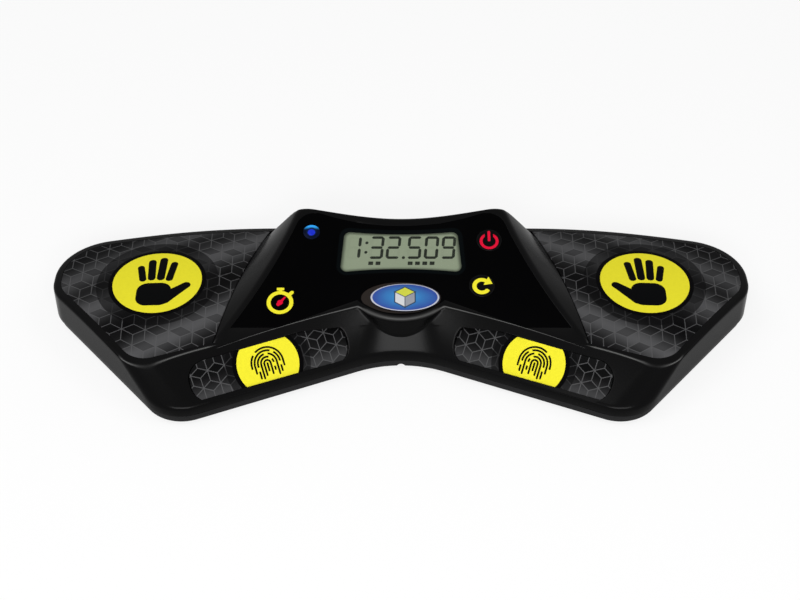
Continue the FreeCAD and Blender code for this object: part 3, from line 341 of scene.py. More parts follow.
def front_z(x, y):
    """Height of the sloping front over a point in plan."""
    zeros = np.zeros_like(x)
    return bisected(lambda z: front_gap(x, y, z), zeros + LIP_Z, zeros + TOP_Z + 20.0, 30)


def round_min(a, b, radius):
    """Smaller of two gaps, with the corner between them rounded."""
    near_a, near_b = np.maximum(radius - a, 0), np.maximum(radius - b, 0)
    return np.where((a < radius) & (b < radius), radius - np.hypot(near_a, near_b), np.minimum(a, b))


def round_max(a, b, radius):
    """Larger of two gaps, with the inner corner between them filled by a quarter circle."""
    return (np.hypot(np.maximum(radius + a, 0), np.maximum(radius + b, 0))
            - np.maximum(radius, -np.maximum(a, b)))


def console_gap(x, y, z):
    """How far a point lies inside the console's horizontal section at its height.

    The section is the smallest of the gaps to the leaning sides, the block's rounded back corners,
    the hollow rear cone and the sloping front; the nose's circle is joined by the rounded larger
    value.
    """
    across = np.abs(x)
    foot = half_width(FOOT_HALF, y)
    crest = np.minimum(half_width(CREST_HALF, y), foot - FOOT_SINK)
    foot_z = np.minimum(crown_z(foot, y), console_z(y)) - FOOT_SINK
    lean = (z - foot_z) / (console_z(y) - foot_z)
    side = foot + (crest - foot) * lean - across
    share = (z - BLOCK_LOW[3]) / (BLOCK_HIGH[3] - BLOCK_LOW[3])
    corner_x, corner_y, radius = [a + share * (b - a) for a, b in zip(BLOCK_LOW[:3], BLOCK_HIGH[:3])]
    splay = math.hypot(1.0, BLOCK_SPLAY)
    flank = (corner_x - BLOCK_SPLAY * (y - corner_y) - across) / splay
    back = corner_y - y
    round_y = y - (corner_y - radius)
    round_x = across - (corner_x + BLOCK_SPLAY * radius - radius * splay)
    in_corner = (round_x > 0) & (round_y > BLOCK_SPLAY * round_x)
    block = np.where(in_corner, radius - np.hypot(round_x, round_y), np.minimum(flank, back))
    rear = np.hypot(x, y - REAR_Y - REAR_RADIUS) - (REAR_RADIUS + REAR_LEAN * (z - REAR_Z))
    body = round_min(np.minimum(side, block), rear, BACK_ROUND)
    body = round_min(body, front_gap(x, y, z) + FRONT_PROUD, FRONT_ROUND)
    pod = np.minimum(POD_RADIUS - np.hypot(x, y - POD_Y), POD_Y - y + POD_STEP)
    return round_max(body, pod, POD_ROUND)


# ------------------------------------------------------------------ meshes
def to_metres(points):
    """Millimetres of the outline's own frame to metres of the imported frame, kept inside its box."""
    return np.clip((np.asarray(points, float) + (0.0, SHIFT_Y, 0.0)) * MM, *CAD_BOX)


def to_console(points):
    """Console coordinates (across, up the slope, out of it) to the outline's frame."""
    across, up, out = np.moveaxis(np.asarray(points, float), -1, 0)
    cos, sin = math.cos(CONSOLE_TILT), math.sin(CONSOLE_TILT)
    return np.stack([across, NOSE_Y + cos * up - sin * out, NOSE_Z + sin * up + cos * out], -1)


def slot_axes():
    """Origin and axes (along, up, out) of the left finger slot."""
    length = math.hypot(1.0, FRONT_SLOPE)
    along = np.array([1.0 / length, FRONT_SLOPE / length, 0.0])
    out = np.array([along[1] * math.sin(SLOT_ANGLE), -along[0] * math.sin(SLOT_ANGLE), math.cos(SLOT_ANGLE)])
    up = np.cross(out, along)
    origin = np.array([SLOT_REF[0], SLOT_REF[1], LIP_Z]) + along * SLOT_AT[0] + up * SLOT_AT[1]
    return origin, along, up, out


def to_slot(points):
    """Slot coordinates (along, up, out) to the outline's frame."""
    origin, *axes = slot_axes()
    return origin + np.asarray(points, float) @ np.array(axes)


def bent(start, corner, end, steps):
    """Rounded corner as rows of points: a parabola from start to end that leans on the corner."""
    share = np.linspace(0, 1, steps + 1)[:, None, None]
    return list((1 - share) ** 2 * start + 2 * share * (1 - share) * corner + share ** 2 * end)


def mirrored(patch):
    """The same patch on the other side, with its rows reversed so that it keeps facing outwards."""
    points, attributes = patch
    return (points * (-1, 1, 1))[::-1], {key: value[::-1] for key, value in attributes.items()}


def patch(points, inside=None, **attributes):
    """A grid of points with named values on it.

    With a point inside, the rows are reversed if the grid's faces look towards that point.
    """
    points = np.asarray(points, float)
    if inside is not None:
        rows, columns = np.diff(points, axis=0)[:, :-1], np.diff(points, axis=1)[:-1]
        if (np.cross(rows, columns) * (points[:-1, :-1] - inside)).sum() < 0:
            return points[::-1], {key: value[::-1] for key, value in attributes.items()}
    return points, attributes


def closed(grid):
    """A grid whose last column is its first again."""
    return np.concatenate([grid, grid[:, :1]], 1)


def turned(profile, spot, count):
    """Grid of a profile (radius, height) turned round an upright axis through a spot."""
    profile = np.asarray(profile, float)
    turn = np.linspace(0, 2 * math.pi, count + 1)
    radius, height = profile[:, :1], profile[:, 1:]
    return np.stack([spot[0] + radius * np.cos(turn), spot[1] + radius * np.sin(turn),
                     height + 0 * turn], -1)


def quarter(radius, height, corner):
    """Profile of a rounded outer edge: a quarter circle that ends at a radius, under a height."""
    turn = np.linspace(0, math.pi / 2, 6)
    return np.stack([radius - corner + corner * np.sin(turn),
                     height - corner + corner * np.cos(turn)], 1)


def grid_faces(rows, columns, first):
    """Corner numbers of every quad of a grid whose points are counted row by row."""
    corner = first + np.arange(rows * columns).reshape(rows, columns)
    quads = [corner[:-1, :-1], corner[1:, :-1], corner[1:, 1:], corner[:-1, 1:]]
    return np.stack(quads, -1).reshape(-1, 4)


def filled(work, loops, normal):
    """Fill the flat area between closed lines, in a mesh under construction."""
    firsts = np.cumsum([0] + [len(loop) for loop in loops])
    runs = [np.arange(first, last) for first, last in zip(firsts, firsts[1:])]
    pairs = [np.stack([run, np.roll(run, -1)], 1) for run in runs]
    outline = bpy.data.meshes.new("outline")
    outline.from_pydata(to_metres(np.concatenate(loops)).tolist(), np.concatenate(pairs).tolist(), [])
    work.from_mesh(outline)
    bpy.data.meshes.remove(outline)
    wires = [edge for edge in work.edges if edge.is_wire]
    made = bmesh.ops.triangle_fill(work, edges=wires, use_beauty=True, normal=normal)
    for face in made["geom"]:
        if isinstance(face, bmesh.types.BMFace):
            face.smooth = False
            if face.normal.dot(normal) < 0:
                face.normal_flip()


def placed(name, data):
    """New object with this data in the scene."""
    piece = bpy.data.objects.new(name, data)
    bpy.context.scene.collection.objects.link(piece)
    return piece


def surface(name, patches, fills=(), normal=(0, 0, 1), merge=2e-6, sharp=40.0):
    """One mesh object from grids of points in millimetres, and flat areas between closed lines.

    Each grid turns into quads, joined where edges meet; a grid's values become point attributes.
    """
    points = to_metres(np.concatenate([p.reshape(-1, 3) for p, _ in patches]))
    faces, first = [], 0
    for grid, _ in patches:
        rows, columns = grid.shape[:2]
        faces.append(grid_faces(rows, columns, first))
        first += rows * columns
    faces = np.concatenate(faces)
    mesh = bpy.data.meshes.new(name)
    mesh.vertices.add(len(points))
    mesh.vertices.foreach_set("co", points.ravel())
    mesh.loops.add(faces.size)
    mesh.loops.foreach_set("vertex_index", faces.ravel())
    mesh.polygons.add(len(faces))
    mesh.polygons.foreach_set("loop_start", np.arange(len(faces)) * 4)
    for key in sorted({key for _, values in patches for key in values}):
        layer = mesh.attributes.new(key, "FLOAT", "POINT")
        values = [v.get(key, np.zeros(p.shape[:2])).ravel() for p, v in patches]
        layer.data.foreach_set("value", np.concatenate(values))
    mesh.update(calc_edges=True)
    mesh.validate()
    work = bmesh.new()
    work.from_mesh(mesh)
    for loops in fills:
        filled(work, loops, Vector(normal))
    bmesh.ops.remove_doubles(work, verts=work.verts, dist=merge)
    bmesh.ops.dissolve_degenerate(work, edges=work.edges, dist=1e-7)
    work.to_mesh(mesh)
    work.free()
    mesh.set_sharp_from_angle(angle=math.radians(sharp))
    return placed(name, mesh)


def dressed(piece, material, body="root", replaces=()):
    """Give a new piece its finish, its body and the nodes it stands for."""
    piece.data.materials.append(material)
    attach(piece, body)
    if replaces:
        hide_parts(*replaces)


# ------------------------------------------------------------------ symbols, as distances in mm
def bar(x, y, start, end, half, half_end=None):
    """Distance to a round-ended bar between two spots, whose half width may taper to its end."""
    across, up = end[0] - start[0], end[1] - start[1]
    along = np.clip(((x - start[0]) * across + (y - start[1]) * up) / (across ** 2 + up ** 2), 0, 1)
    width = half + along * ((half_end or half) - half)
    return np.hypot(x - start[0] - along * across, y - start[1] - along * up) - width


def block(x, y, centre, half, radius):
    """Distance to a rectangle with rounded corners."""
    out_x = np.abs(x - centre[0]) - half[0] + radius
    out_y = np.abs(y - centre[1]) - half[1] + radius
    outside = np.hypot(np.maximum(out_x, 0), np.maximum(out_y, 0))
    return outside + np.minimum(np.maximum(out_x, out_y), 0) - radius


def arrowhead(x, y, base, angle, half, length):
    """Distance to a triangle that points along an angle from the middle of its base."""
    along = (x - base[0]) * math.cos(angle) + (y - base[1]) * math.sin(angle)
    across = np.abs((y - base[1]) * math.cos(angle) - (x - base[0]) * math.sin(angle))
    flank = (across * length + along * half - length * half) / math.hypot(length, half)
    return np.maximum(-along, flank)


def open_hand(x, y):
    """An upright hand: four round-ended fingers over a rounded palm, and a tapered thumb to the right."""
    shape = block(x, y, (-0.9, -7.6), (7.1, 6.6), 4.6)
    shape = np.minimum(shape, bar(x, y, (3.6, -10.4), (12.3, -2.6), 3.1, 1.75))
    for low, high, half in (((-6.1, 1.5), (-7.5, 8.8), 1.45), ((-2.5, 2.2), (-3.1, 12.4), 1.6),
                            ((1.3, 2.2), (1.6, 13.6), 1.65), ((4.9, 1.5), (6.2, 10.8), 1.5)):
        shape = np.minimum(shape, bar(x, y, low, high, half))
    return shape


def finger_ridges(x, y):
    """Ridges of a fingertip: arches with straight legs one inside the other, cut by short gaps."""
    near = np.full(x.shape, 9.0)
    for radius, left, right in ((0.0, 3.0, 3.0), (1.3, 4.6, 4.6), (2.6, 5.6, 3.2), (3.9, 5.3, 5.3),
                                (5.2, 2.9, 4.4), (6.5, 0.6, 2.4)):
        arch = np.abs(np.where(y > 0, np.hypot(x, y), np.abs(x)) - radius)
        past = np.maximum(-np.where(x < 0, left, right) - y, 0)
        near = np.minimum(near, np.hypot(arch, past) - 0.38)
    for gap_x, gap_y in ((1.8, 1.9), (-3.9, -1.6), (3.0, 4.3), (-4.2, 5.0), (5.2, -1.2), (2.6, -1.0),
                         (0.4, 3.9)):
        near = np.maximum(near, 0.8 - np.hypot(x - gap_x, y - gap_y))
    return near


def power_symbol(x, y):
    """Ring open at the top with an upright stroke."""
    ring = np.abs(np.hypot(x, y + 0.55) - 3.3) - 0.60
    ring = np.maximum(ring, -bar(x, y, (0.0, 0.5), (0.0, 9.0), 1.75))
    return np.minimum(ring, bar(x, y, (0.0, -0.1), (0.0, 3.9), 0.56))


def reset_symbol(x, y):
    """Ring open at the right with an arrowhead on its upper end."""
    ring = np.abs(np.hypot(x, y + 0.3) - 3.0) - 0.85
    turn = np.degrees(np.arctan2(y + 0.3, x))
    ring = np.where((turn > -32) & (turn < 48), np.maximum(ring, 0.3), ring)
    head = arrowhead(x, y, (1.75, 2.25), math.radians(-28), 2.25, 3.0)
    return np.minimum(ring, head)


def stopwatch_symbol(x, y):
    """Round watch case as a ring with a crown and a side button."""
    ring = np.abs(np.hypot(x, y) - 4.6) - 0.8
    crown = block(x, y, (0.0, 6.3), (1.5, 0.65), 0.3)
    stem = block(x, y, (0.0, 5.5), (0.6, 0.9), 0.1)
    button = bar(x, y, (3.9, 3.9), (4.7, 4.7), 0.75)
    return np.minimum(np.minimum(ring, crown), np.minimum(stem, button))


def stopwatch_hand(x, y):
    """Tapered hand of the watch and its hub."""
    return np.minimum(bar(x, y, (-0.7, -0.9), (1.9, 2.4), 0.75, 0.35), np.hypot(x, y) - 1.15)


def rhombus_faces(x, y, size, gap):
    """Distances to the upper, left and right faces of a cube seen corner on, apart by a gap."""
    faces = []
    for angle in (90.0, 210.0, 330.0):
        turn = math.radians(angle)
        along = x * math.cos(turn) + y * math.sin(turn) - size / 2
        across = -x * math.sin(turn) + y * math.cos(turn)
        faces.append(np.abs(along) * 0.866 + np.abs(across) * 0.5 - size * 0.433 + gap)
    return faces


SEGMENTS = {"0": "abcdef", "1": "bc", "2": "abged", "3": "abgcd", "4": "fgbc", "5": "afgcd", "6": "afgecd",
            "7": "abc", "8": "abcdefg", "9": "abcdfg"}
READING = ((-19.4, "1"), (-10.0, "3"), (-3.1, "2"), (5.6, "5"), (12.6, "0"), (19.6, "9"))


def segment(u, v, length, half):
    """Distance to one bar of a figure, with pointed ends; u runs along it."""
    return np.maximum(np.abs(v) - half, (np.abs(u) + np.abs(v) - length / 2) * 0.707)


def display_figures(x, y, height):
    """Distances to the figures that show and to those that don't, on slanted axes, and to small squares."""
    tall, wide, half = height / 2, height * 0.21, height * 0.056
    x = x - 0.085 * y
    lit, idle = np.full(x.shape, 9.0), np.full(x.shape, 9.0)
    for middle, figure in READING:
        u, v = x - middle, y
        bars = {"a": (u, v - tall + half), "g": (u, v), "d": (u, v + tall - half),
                "b": (v - tall / 2, u - wide), "c": (v + tall / 2, u - wide),
                "f": (v - tall / 2, u + wide), "e": (v + tall / 2, u + wide)}
        for key, (along, across) in bars.items():
            length = 2 * wide + half if key in "agd" else tall - half
            near = segment(along, across, length - 0.25, half)
            if key in SEGMENTS[figure]:
                lit = np.minimum(lit, near)
            else:
                idle = np.minimum(idle, near)
    for spot in ((-14.3, tall * 0.42), (-14.3, -tall * 0.42), (1.4, -tall + half)):
        lit = np.minimum(lit, np.hypot(x - spot[0], y - spot[1]) - half * 1.1)
    for spot in (-11.8, -8.8, 4.4, 7.4, 10.4, 13.4):
        lit = np.minimum(lit, block(x, y, (spot, -tall - 2.1), (1.0, 0.85), 0.15))
    return lit, idle


INK = 5.0          # a symbol's attribute is this number at its edge and more inside it


# ------------------------------------------------------------------ shading
def shaded(colour, share):
    """A colour times a share, no channel over one."""
    return tuple(min(c * share, 1.0) for c in colour)


class Nodes:
    """Short calls for a node tree under construction."""

    def __init__(self, tree):
        self.tree = tree

    def node(self, kind, *inputs, **settings):
        made = self.tree.nodes.new(kind)
        for key, value in settings.items():
            setattr(made, key, value)
        for socket, value in zip(made.inputs, inputs):
            self.feed(socket, value)
        return made

    def feed(self, socket, value):
        if isinstance(value, bpy.types.NodeSocket):
            self.tree.links.new(value, socket)
        elif value is not None:
            socket.default_value = value

    def maths(self, operation, *inputs):
        return self.node("ShaderNodeMath", *inputs, operation=operation).outputs[0]


class Shading(Nodes):
    """A material under construction, with short calls for the nodes used here."""

    def __init__(self, name):
        self.material = bpy.data.materials.new(name)
        self.material.use_nodes = True
        super().__init__(self.material.node_tree)
        self.shader = self.tree.nodes["Principled BSDF"]

    def set(self, **values):
        """Constant or linked inputs of the shader, underscores for blanks."""
        for key, value in values.items():
            self.feed(self.shader.inputs[key.replace("_", " ")], value)

    def vector(self, operation, *inputs, output=0):
        return self.node("ShaderNodeVectorMath", *inputs, operation=operation).outputs[output]

    def along(self, way):
        """The place along a direction, times the direction's length."""
        return self.vector("DOT_PRODUCT", self.place(), tuple(way), output=1)

    def scaled(self, source, factor):
        made = self.node("ShaderNodeVectorMath", source, operation="SCALE")
        self.feed(made.inputs["Scale"], factor)
        return made.outputs[0]

    def place(self):
        return self.node("ShaderNodeTexCoord").outputs["Object"]

    def attribute(self, name):
        return self.node("ShaderNodeAttribute", attribute_name=name).outputs["Fac"]

    def noise(self, scale, detail):
        made = self.node("ShaderNodeTexNoise", self.place())
        made.inputs["Scale"].default_value = scale
        made.inputs["Detail"].default_value = detail
        return made.outputs["Fac"]

    def between(self, value, low, high, to_low=0.0, to_high=1.0, smooth=False):
        """Map a value from one span to another, clamped."""
        kind = "SMOOTHSTEP" if smooth else "LINEAR"
        return self.node("ShaderNodeMapRange", value, low, high, to_low, to_high, clamp=True,
                         interpolation_type=kind).outputs[0]

    def mix(self, share, first, second):
        made = self.node("ShaderNodeMix", data_type="RGBA")
        self.feed(made.inputs[0], share)
        for socket, value in ((6, first), (7, second)):
            self.feed(made.inputs[socket], (*value, 1.0) if isinstance(value, tuple) else value)
        return made.outputs[2]

    def varied(self, noise, colour, low, high, span=(0.3, 0.7)):
        """A colour that changes with a noise from a darker to a lighter share of itself."""
        return self.mix(self.between(noise, *span), shaded(colour, low), shaded(colour, high))

    def gloss(self, noise, low, high, span=(0.3, 0.7)):
        """A roughness that changes with a noise."""
        return self.between(noise, *span, low, high)

    def ink(self, name, soft=0.07):
        """One inside a symbol and nothing outside it, from its attribute."""
        return self.between(self.attribute(name), INK - soft, INK + soft)

    def plan(self, first, second, start):
        """Two flat coordinates in millimetres: the place along two vectors, less their start."""
        across, upwards = self.along(first / MM), self.along(second / MM)
        joined = self.node("ShaderNodeCombineXYZ", across, upwards).outputs[0]
        return self.vector("SUBTRACT", joined, (start[0], start[1], 0.0))

    def lattice(self, flat, pitch):
        """Cube lattice of rhombi: distance to its lines, a random number and the kind of each rhombus.

        The six-pointed crossings lie on two rectangular grids half a cell apart. A point is measured
        from the nearer crossing; six lines leave it 60 degrees apart, and the sector between two
        lines belongs to the rhombus whose middle lies half a pitch along the sector's own direction.
        """
        half = (pitch / 2, pitch * math.sqrt(3) / 2, 1.0)
        low = tuple(-v for v in half)
        first = self.node("ShaderNodeVectorMath", flat, half, low, operation="WRAP").outputs[0]
        moved = self.vector("SUBTRACT", flat, (half[0], half[1], 0.0))
        second = self.node("ShaderNodeVectorMath", moved, half, low, operation="WRAP").outputs[0]
        reach = self.vector("LENGTH", first, output=1)
        other = self.vector("LENGTH", second, output=1)
        nearer = self.maths("LESS_THAN", reach, other)
        change = self.scaled(self.vector("SUBTRACT", first, second), nearer)
        away = self.vector("ADD", second, change)
        parts = self.node("ShaderNodeSeparateXYZ", away).outputs
        angle = self.maths("ARCTAN2", parts[1], parts[0])
        sixth = math.pi / 3
        off = self.maths("WRAP", self.maths("SUBTRACT", angle, sixth / 2), sixth / 2, -sixth / 2)
        line = self.maths("MULTIPLY", self.maths("MINIMUM", reach, other),
                          self.maths("ABSOLUTE", self.maths("SINE", off)))
        sector = self.maths("SUBTRACT", angle, self.maths("WRAP", angle, sixth / 2, -sixth / 2))
        cosine, sine = self.maths("COSINE", sector), self.maths("SINE", sector)
        half_way = self.scaled(self.node("ShaderNodeCombineXYZ", cosine, sine).outputs[0], pitch / 2)
        middle = self.vector("ADD", self.vector("SUBTRACT", flat, away), half_way)
        cell = self.vector("MULTIPLY", middle, (4 / pitch, 4 / (pitch * math.sqrt(3)), 0.0))
        cell = self.vector("FLOOR", self.vector("ADD", cell, (0.5, 0.5, 0.5)))
        number = self.node("ShaderNodeTexWhiteNoise", cell, noise_dimensions="3D").outputs[0]
        level = self.maths("LESS_THAN", self.maths("ABSOLUTE", sine), 0.3)
        return line, number, level

    def bump(self, height, strength, distance):
        """Bump from a height; the material is done with it."""
        made = self.node("ShaderNodeBump")
        for key, value in (("Height", height), ("Strength", strength), ("Distance", distance)):
            self.feed(made.inputs[key], value)
        self.feed(self.shader.inputs["Normal"], made.outputs[0])
        return self.material


def moulded(name, colour, roughness, grain, depth, level):
    """Moulded plastic: fine grain, a slight cloud in the gloss and a little colour variation.

    Where a piece carries the highlight value of its rounded edges, a paler, slightly mottled line is painted
    there as a highlight.
    """
    work = Shading(name)
    cloud = work.noise(38.0, 3.0)
    tone = work.varied(cloud, colour, 0.86, 1.14)
    fine = work.noise(grain, 2.0)
    # painted highlight along the rounded edges, mottled by the cloud
    highlight_share = work.maths("MULTIPLY", work.attribute("worn"), work.between(cloud, 0.3, 0.7, 0.75, 1.0))
    tone = work.mix(highlight_share, tone, (0.12, 0.12, 0.118))
    work.set(Base_Color=tone, Roughness=work.gloss(cloud, roughness * 0.9, roughness * 1.12, (0.25, 0.75)),
             Specular_IOR_Level=level)
    return work.bump(fine, 0.25, depth)


def glossy(name, colour, roughness, level):
    """Polished plastic with the faint orange peel of an injection tool and a few wiped smears."""
    work = Shading(name)
    smear = work.noise(22.0, 4.0)
    peel = work.noise(210.0, 1.0)
    work.set(Base_Color=work.varied(smear, colour, 1.0, 1.3),
             Roughness=work.gloss(smear, roughness, roughness * 2.2, (0.35, 0.75)), Specular_IOR_Level=level)
    return work.bump(peel, 0.06, 0.00002)


def metal(name, colour, roughness, scale):
    """Plated or stamped metal with fine streaks."""
    work = Shading(name)
    streak = work.noise(scale, 5.0)
    work.set(Base_Color=work.varied(streak, colour, 0.8, 1.0, (0.35, 0.65)), Metallic=1.0,
             Roughness=work.gloss(streak, roughness * 0.7, roughness * 1.3))
    return work.bump(streak, 0.12, 0.00003)


SHADE_SHARE, RING_WIDTH = 1.368, 1.7         # shaded ground over the disc's radius; black ring round it


def printed_film(name, first, second, start, streaks, streak_way, disc, size):
    """Satin film with a printed cube lattice, soft light streaks and a yellow disc with a symbol."""
    tones = colours()
    work = Shading(name)
    flat = work.plan(first, second, start)
    line, number, level = work.lattice(flat, size * (sizes().lattice / (LATTICE_EDGE * MM)))
    across = work.along(streak_way / MM)
    across = work.maths("ADD", across, work.maths("MULTIPLY", work.maths("SUBTRACT", number, 0.5), 0.9))
    sheen = None
    for middle, width, power in streaks:
        off = work.maths("DIVIDE", work.maths("SUBTRACT", across, middle), width)
        bell = work.maths("EXPONENT", work.maths("MULTIPLY", work.maths("MULTIPLY", off, off), -1.0))
        bell = work.maths("MULTIPLY", bell, power)
        sheen = bell if sheen is None else work.maths("ADD", sheen, bell)
    grey = work.maths("ADD", work.maths("MULTIPLY", number, 0.05), sheen)
    grey = work.maths("MULTIPLY", grey, work.between(level, 0.0, 1.0, 1.0, 0.6))
    tone = work.mix(work.between(grey, 0.0, 1.0), tuple(tones.film_dark), tuple(tones.film_light))
    lines = work.between(line, 0.09, 0.24, 1.0, 0.0, smooth=True)
    tone = work.mix(work.maths("MULTIPLY", lines, 0.75), tone, tuple(tones.film_line))
    spot = work.attribute("spot")
    shade_end = disc * SHADE_SHARE
    shade = work.between(spot, shade_end - 0.1, shade_end + 0.1, 0.7, 0.0)
    tone = work.mix(shade, tone, (0.0025, 0.0025, 0.0027))
    ring = work.between(spot, disc + RING_WIDTH, disc + RING_WIDTH + 0.15, 1.0, 0.0)
    tone = work.mix(ring, tone, (0.0009, 0.0009, 0.0010))
    grain = work.noise(900.0, 3.0)
    yellow = work.varied(grain, tones.yellow, 0.96, 1.0)
    round_disc = work.between(spot, disc - 0.06, disc + 0.06, 1.0, 0.0)
    printed = work.maths("SUBTRACT", round_disc, work.ink("symbol"))
    tone = work.mix(work.between(printed, 0.0, 1.0), tone, yellow)
    tone = work.mix(work.ink("symbol"), tone, (0.0015, 0.0017, 0.0019))
    work.set(Base_Color=tone, Roughness=work.gloss(grain, 0.38, 0.50), Specular_IOR_Level=0.012)
    height = work.maths("ADD", work.maths("MULTIPLY", lines, 0.6), work.maths("MULTIPLY", grain, 0.4))
    return work.bump(height, 0.15, 0.00002)


def overlay_print():
    """Gloss black overlay with a soft border round the display and the printed watch symbol."""
    tones = colours()
    work = Shading("gloss_overlay")
    smear = work.noise(24.0, 4.0)
    tone = work.varied(smear, tones.plate, 1.0, 1.8, (0.35, 0.75))
    border = work.between(work.attribute("border"), 0.2, 0.9)
    tone = work.mix(border, tone, (0.0018, 0.0026, 0.0030))
    tone = work.mix(work.ink("watch"), tone, tuple(tones.yellow))
    tone = work.mix(work.ink("pointer"), tone, tuple(tones.power))
    work.set(Base_Color=tone, Roughness=work.gloss(smear, 0.10, 0.17, (0.35, 0.75)),
             Specular_IOR_Level=0.008)
    return work.bump(work.noise(160.0, 1.0), 0.03, 0.00002)


def key_finish(name, print_colour):
    """Gloss key with its printed symbol."""
    work = Shading(name)
    smear = work.noise(60.0, 3.0)
    tone = work.varied(smear, colours().plate, 1.0, 1.8)
    tone = work.mix(work.ink("symbol"), tone, tuple(print_colour))
    work.set(Base_Color=tone, Roughness=work.gloss(smear, 0.14, 0.24), Specular_IOR_Level=0.04)
    return work.bump(work.noise(420.0, 2.0), 0.04, 0.00002)


def display_finish():
    """Reflective liquid-crystal ground, its figures, the faint idle segments and painted shade that darkens
    it towards its edges.
    """
    tones = colours()
    work = Shading("display_ground")
    cloud = work.noise(55.0, 3.0)
    fine = work.noise(2400.0, 2.0)
    tone = work.varied(cloud, tones.lcd, 0.96, 1.0)
    tone = work.mix(work.maths("MULTIPLY", work.ink("idle"), 0.05), tone, tuple(tones.segment))
    tone = work.mix(work.ink("lit"), tone, tuple(tones.segment))
    # painted shade: the ground darkens within about 1.9 mm of the opening's edge
    edge = work.between(work.attribute("edge"), 0.0, 1.9, 0.85, 0.0, smooth=True)
    tone = work.mix(edge, tone, (0.035, 0.042, 0.030))
    work.set(Base_Color=tone, Roughness=work.gloss(fine, 0.42, 0.55), Specular_IOR_Level=0.05)
    return work.bump(fine, 0.05, 0.00001)


def lens_finish():
    """Blue status lens: a painted highlight as a bright crescent on its far side, round a deep blue core."""
    work = Shading("status_lens")
    rise, radius = work.attribute("rise"), work.attribute("radius")
    cloud = work.noise(700.0, 2.0)
    # painted highlight: dark blue on the near side of the lens, bright blue towards its far side
    glow = work.between(rise, 0.9, 2.9, smooth=True)
    tone = work.mix(glow, (0.0008, 0.003, 0.014), (0.030, 0.34, 0.84))
    tone = work.mix(work.between(radius, 1.75, 2.35, 0.9, 0.0, smooth=True), tone, (0.002, 0.010, 0.045))
    core = work.mix(work.between(cloud, 0.3, 0.7), tuple(colours().light), (0.012, 0.03, 0.52))
    tone = work.mix(work.between(work.attribute("core"), 1.45, 1.65, 1.0, 0.0), tone, core)
    work.set(Base_Color=tone, Roughness=work.gloss(cloud, 0.16, 0.24), Specular_IOR_Level=0.04)
    return work.bump(cloud, 0.03, 0.00001)


CUBE_FACES = {"top_face": (0.48, 0.50, 0.04), "left_face": (0.50, 0.51, 0.53),
              "right_face": (0.23, 0.24, 0.27)}
CUBE_EDGE, CUBE_GAP, CUBE_SHADOW = 4.7, 0.16, 0.30


def medallion_finish():
    """Oval medallion: blue enamel that darkens outwards, a silver rim and a three-faced cube."""
    work = Shading("enamel_medallion")
    share = work.attribute("share")
    swirl = work.noise(95.0, 3.0)
    wide = work.between(work.maths("ADD", share, work.between(swirl, 0.3, 0.7, -0.08, 0.08)), 0.1, 0.9)
    tone = work.mix(wide, (0.022, 0.215, 0.470), (0.014, 0.050, 0.250))
    for name in CUBE_FACES:
        tone = work.mix(work.ink(name + "_shadow", 0.12), tone, (0.012, 0.030, 0.060))
    for name, colour in CUBE_FACES.items():
        tone = work.mix(work.ink(name), tone, colour)
    rim = work.maths("MULTIPLY", work.between(share, 0.925, 0.94),
                     work.between(share, 0.975, 0.985, 1.0, 0.0))
    tone = work.mix(rim, tone, (0.40, 0.41, 0.45))
    tone = work.mix(work.between(share, 0.98, 0.99), tone, (0.004, 0.004, 0.005))
    work.set(Base_Color=tone, Roughness=work.gloss(swirl, 0.16, 0.26), Specular_IOR_Level=0.3)
    return work.bump(work.maths("ADD", rim, work.ink("left_face")), 0.10, 0.00004)


def clear_pane():
    """Thin clear window with the odd wiped smear."""
    work = Shading("clear_window")
    smear = work.noise(45.0, 4.0)
    tone = work.mix(smear, (0.10, 0.11, 0.10), (0.16, 0.17, 0.16))
    work.set(Base_Color=tone, Roughness=work.gloss(smear, 0.05, 0.12), Specular_IOR_Level=0.1,
             Alpha=0.03)
    return work.bump(smear, 0.02, 0.00001)


def board_finish():
    """Green solder mask with copper tracks under it and small bare pads."""
    work = Shading("circuit_board")
    flat = work.scaled(work.place(), 1000.0)
    weave = work.noise(1500.0, 2.0)
    cell = work.vector("MULTIPLY", flat, (0.35, 0.55, 0.0))
    track = work.node("ShaderNodeTexBrick", cell)
    track.inputs["Scale"].default_value = 1.0
    track.inputs["Mortar Size"].default_value = 0.035
    mask = track.outputs["Fac"]
    tone = work.mix(mask, (0.010, 0.075, 0.028), (0.030, 0.140, 0.050))
    dots = work.node("ShaderNodeTexVoronoi", cell, voronoi_dimensions="3D")
    dots.inputs["Scale"].default_value = 1.3
    pads = work.between(dots.outputs["Distance"], 0.07, 0.09, 1.0, 0.0)
    tone = work.mix(pads, tone, (0.62, 0.58, 0.42))
    work.set(Base_Color=tone, Roughness=work.gloss(weave, 0.28, 0.40), Specular_IOR_Level=0.4)
    return work.bump(work.maths("ADD", mask, work.maths("MULTIPLY", weave, 0.3)), 0.15, 0.00003)


def cell_finish():
    """Battery jacket: a dark sleeve with a warm metal band at one end."""
    work = Shading("battery_jacket")
    across = work.along((1 / MM, 0.0, 0.0))
    fine = work.noise(700.0, 3.0)
    band = work.between(work.maths("ABSOLUTE", across), 13.5, 13.7)
    tone = work.mix(band, (0.020, 0.022, 0.026), (0.46, 0.30, 0.12))
    cap = work.between(work.maths("ABSOLUTE", across), 21.6, 21.7)
    tone = work.mix(cap, tone, (0.56, 0.55, 0.52))
    work.set(Base_Color=tone, Metallic=work.maths("MULTIPLY", band, 0.8),
             Roughness=work.gloss(fine, 0.26, 0.38), Specular_IOR_Level=0.4)
    return work.bump(fine, 0.05, 0.00002)


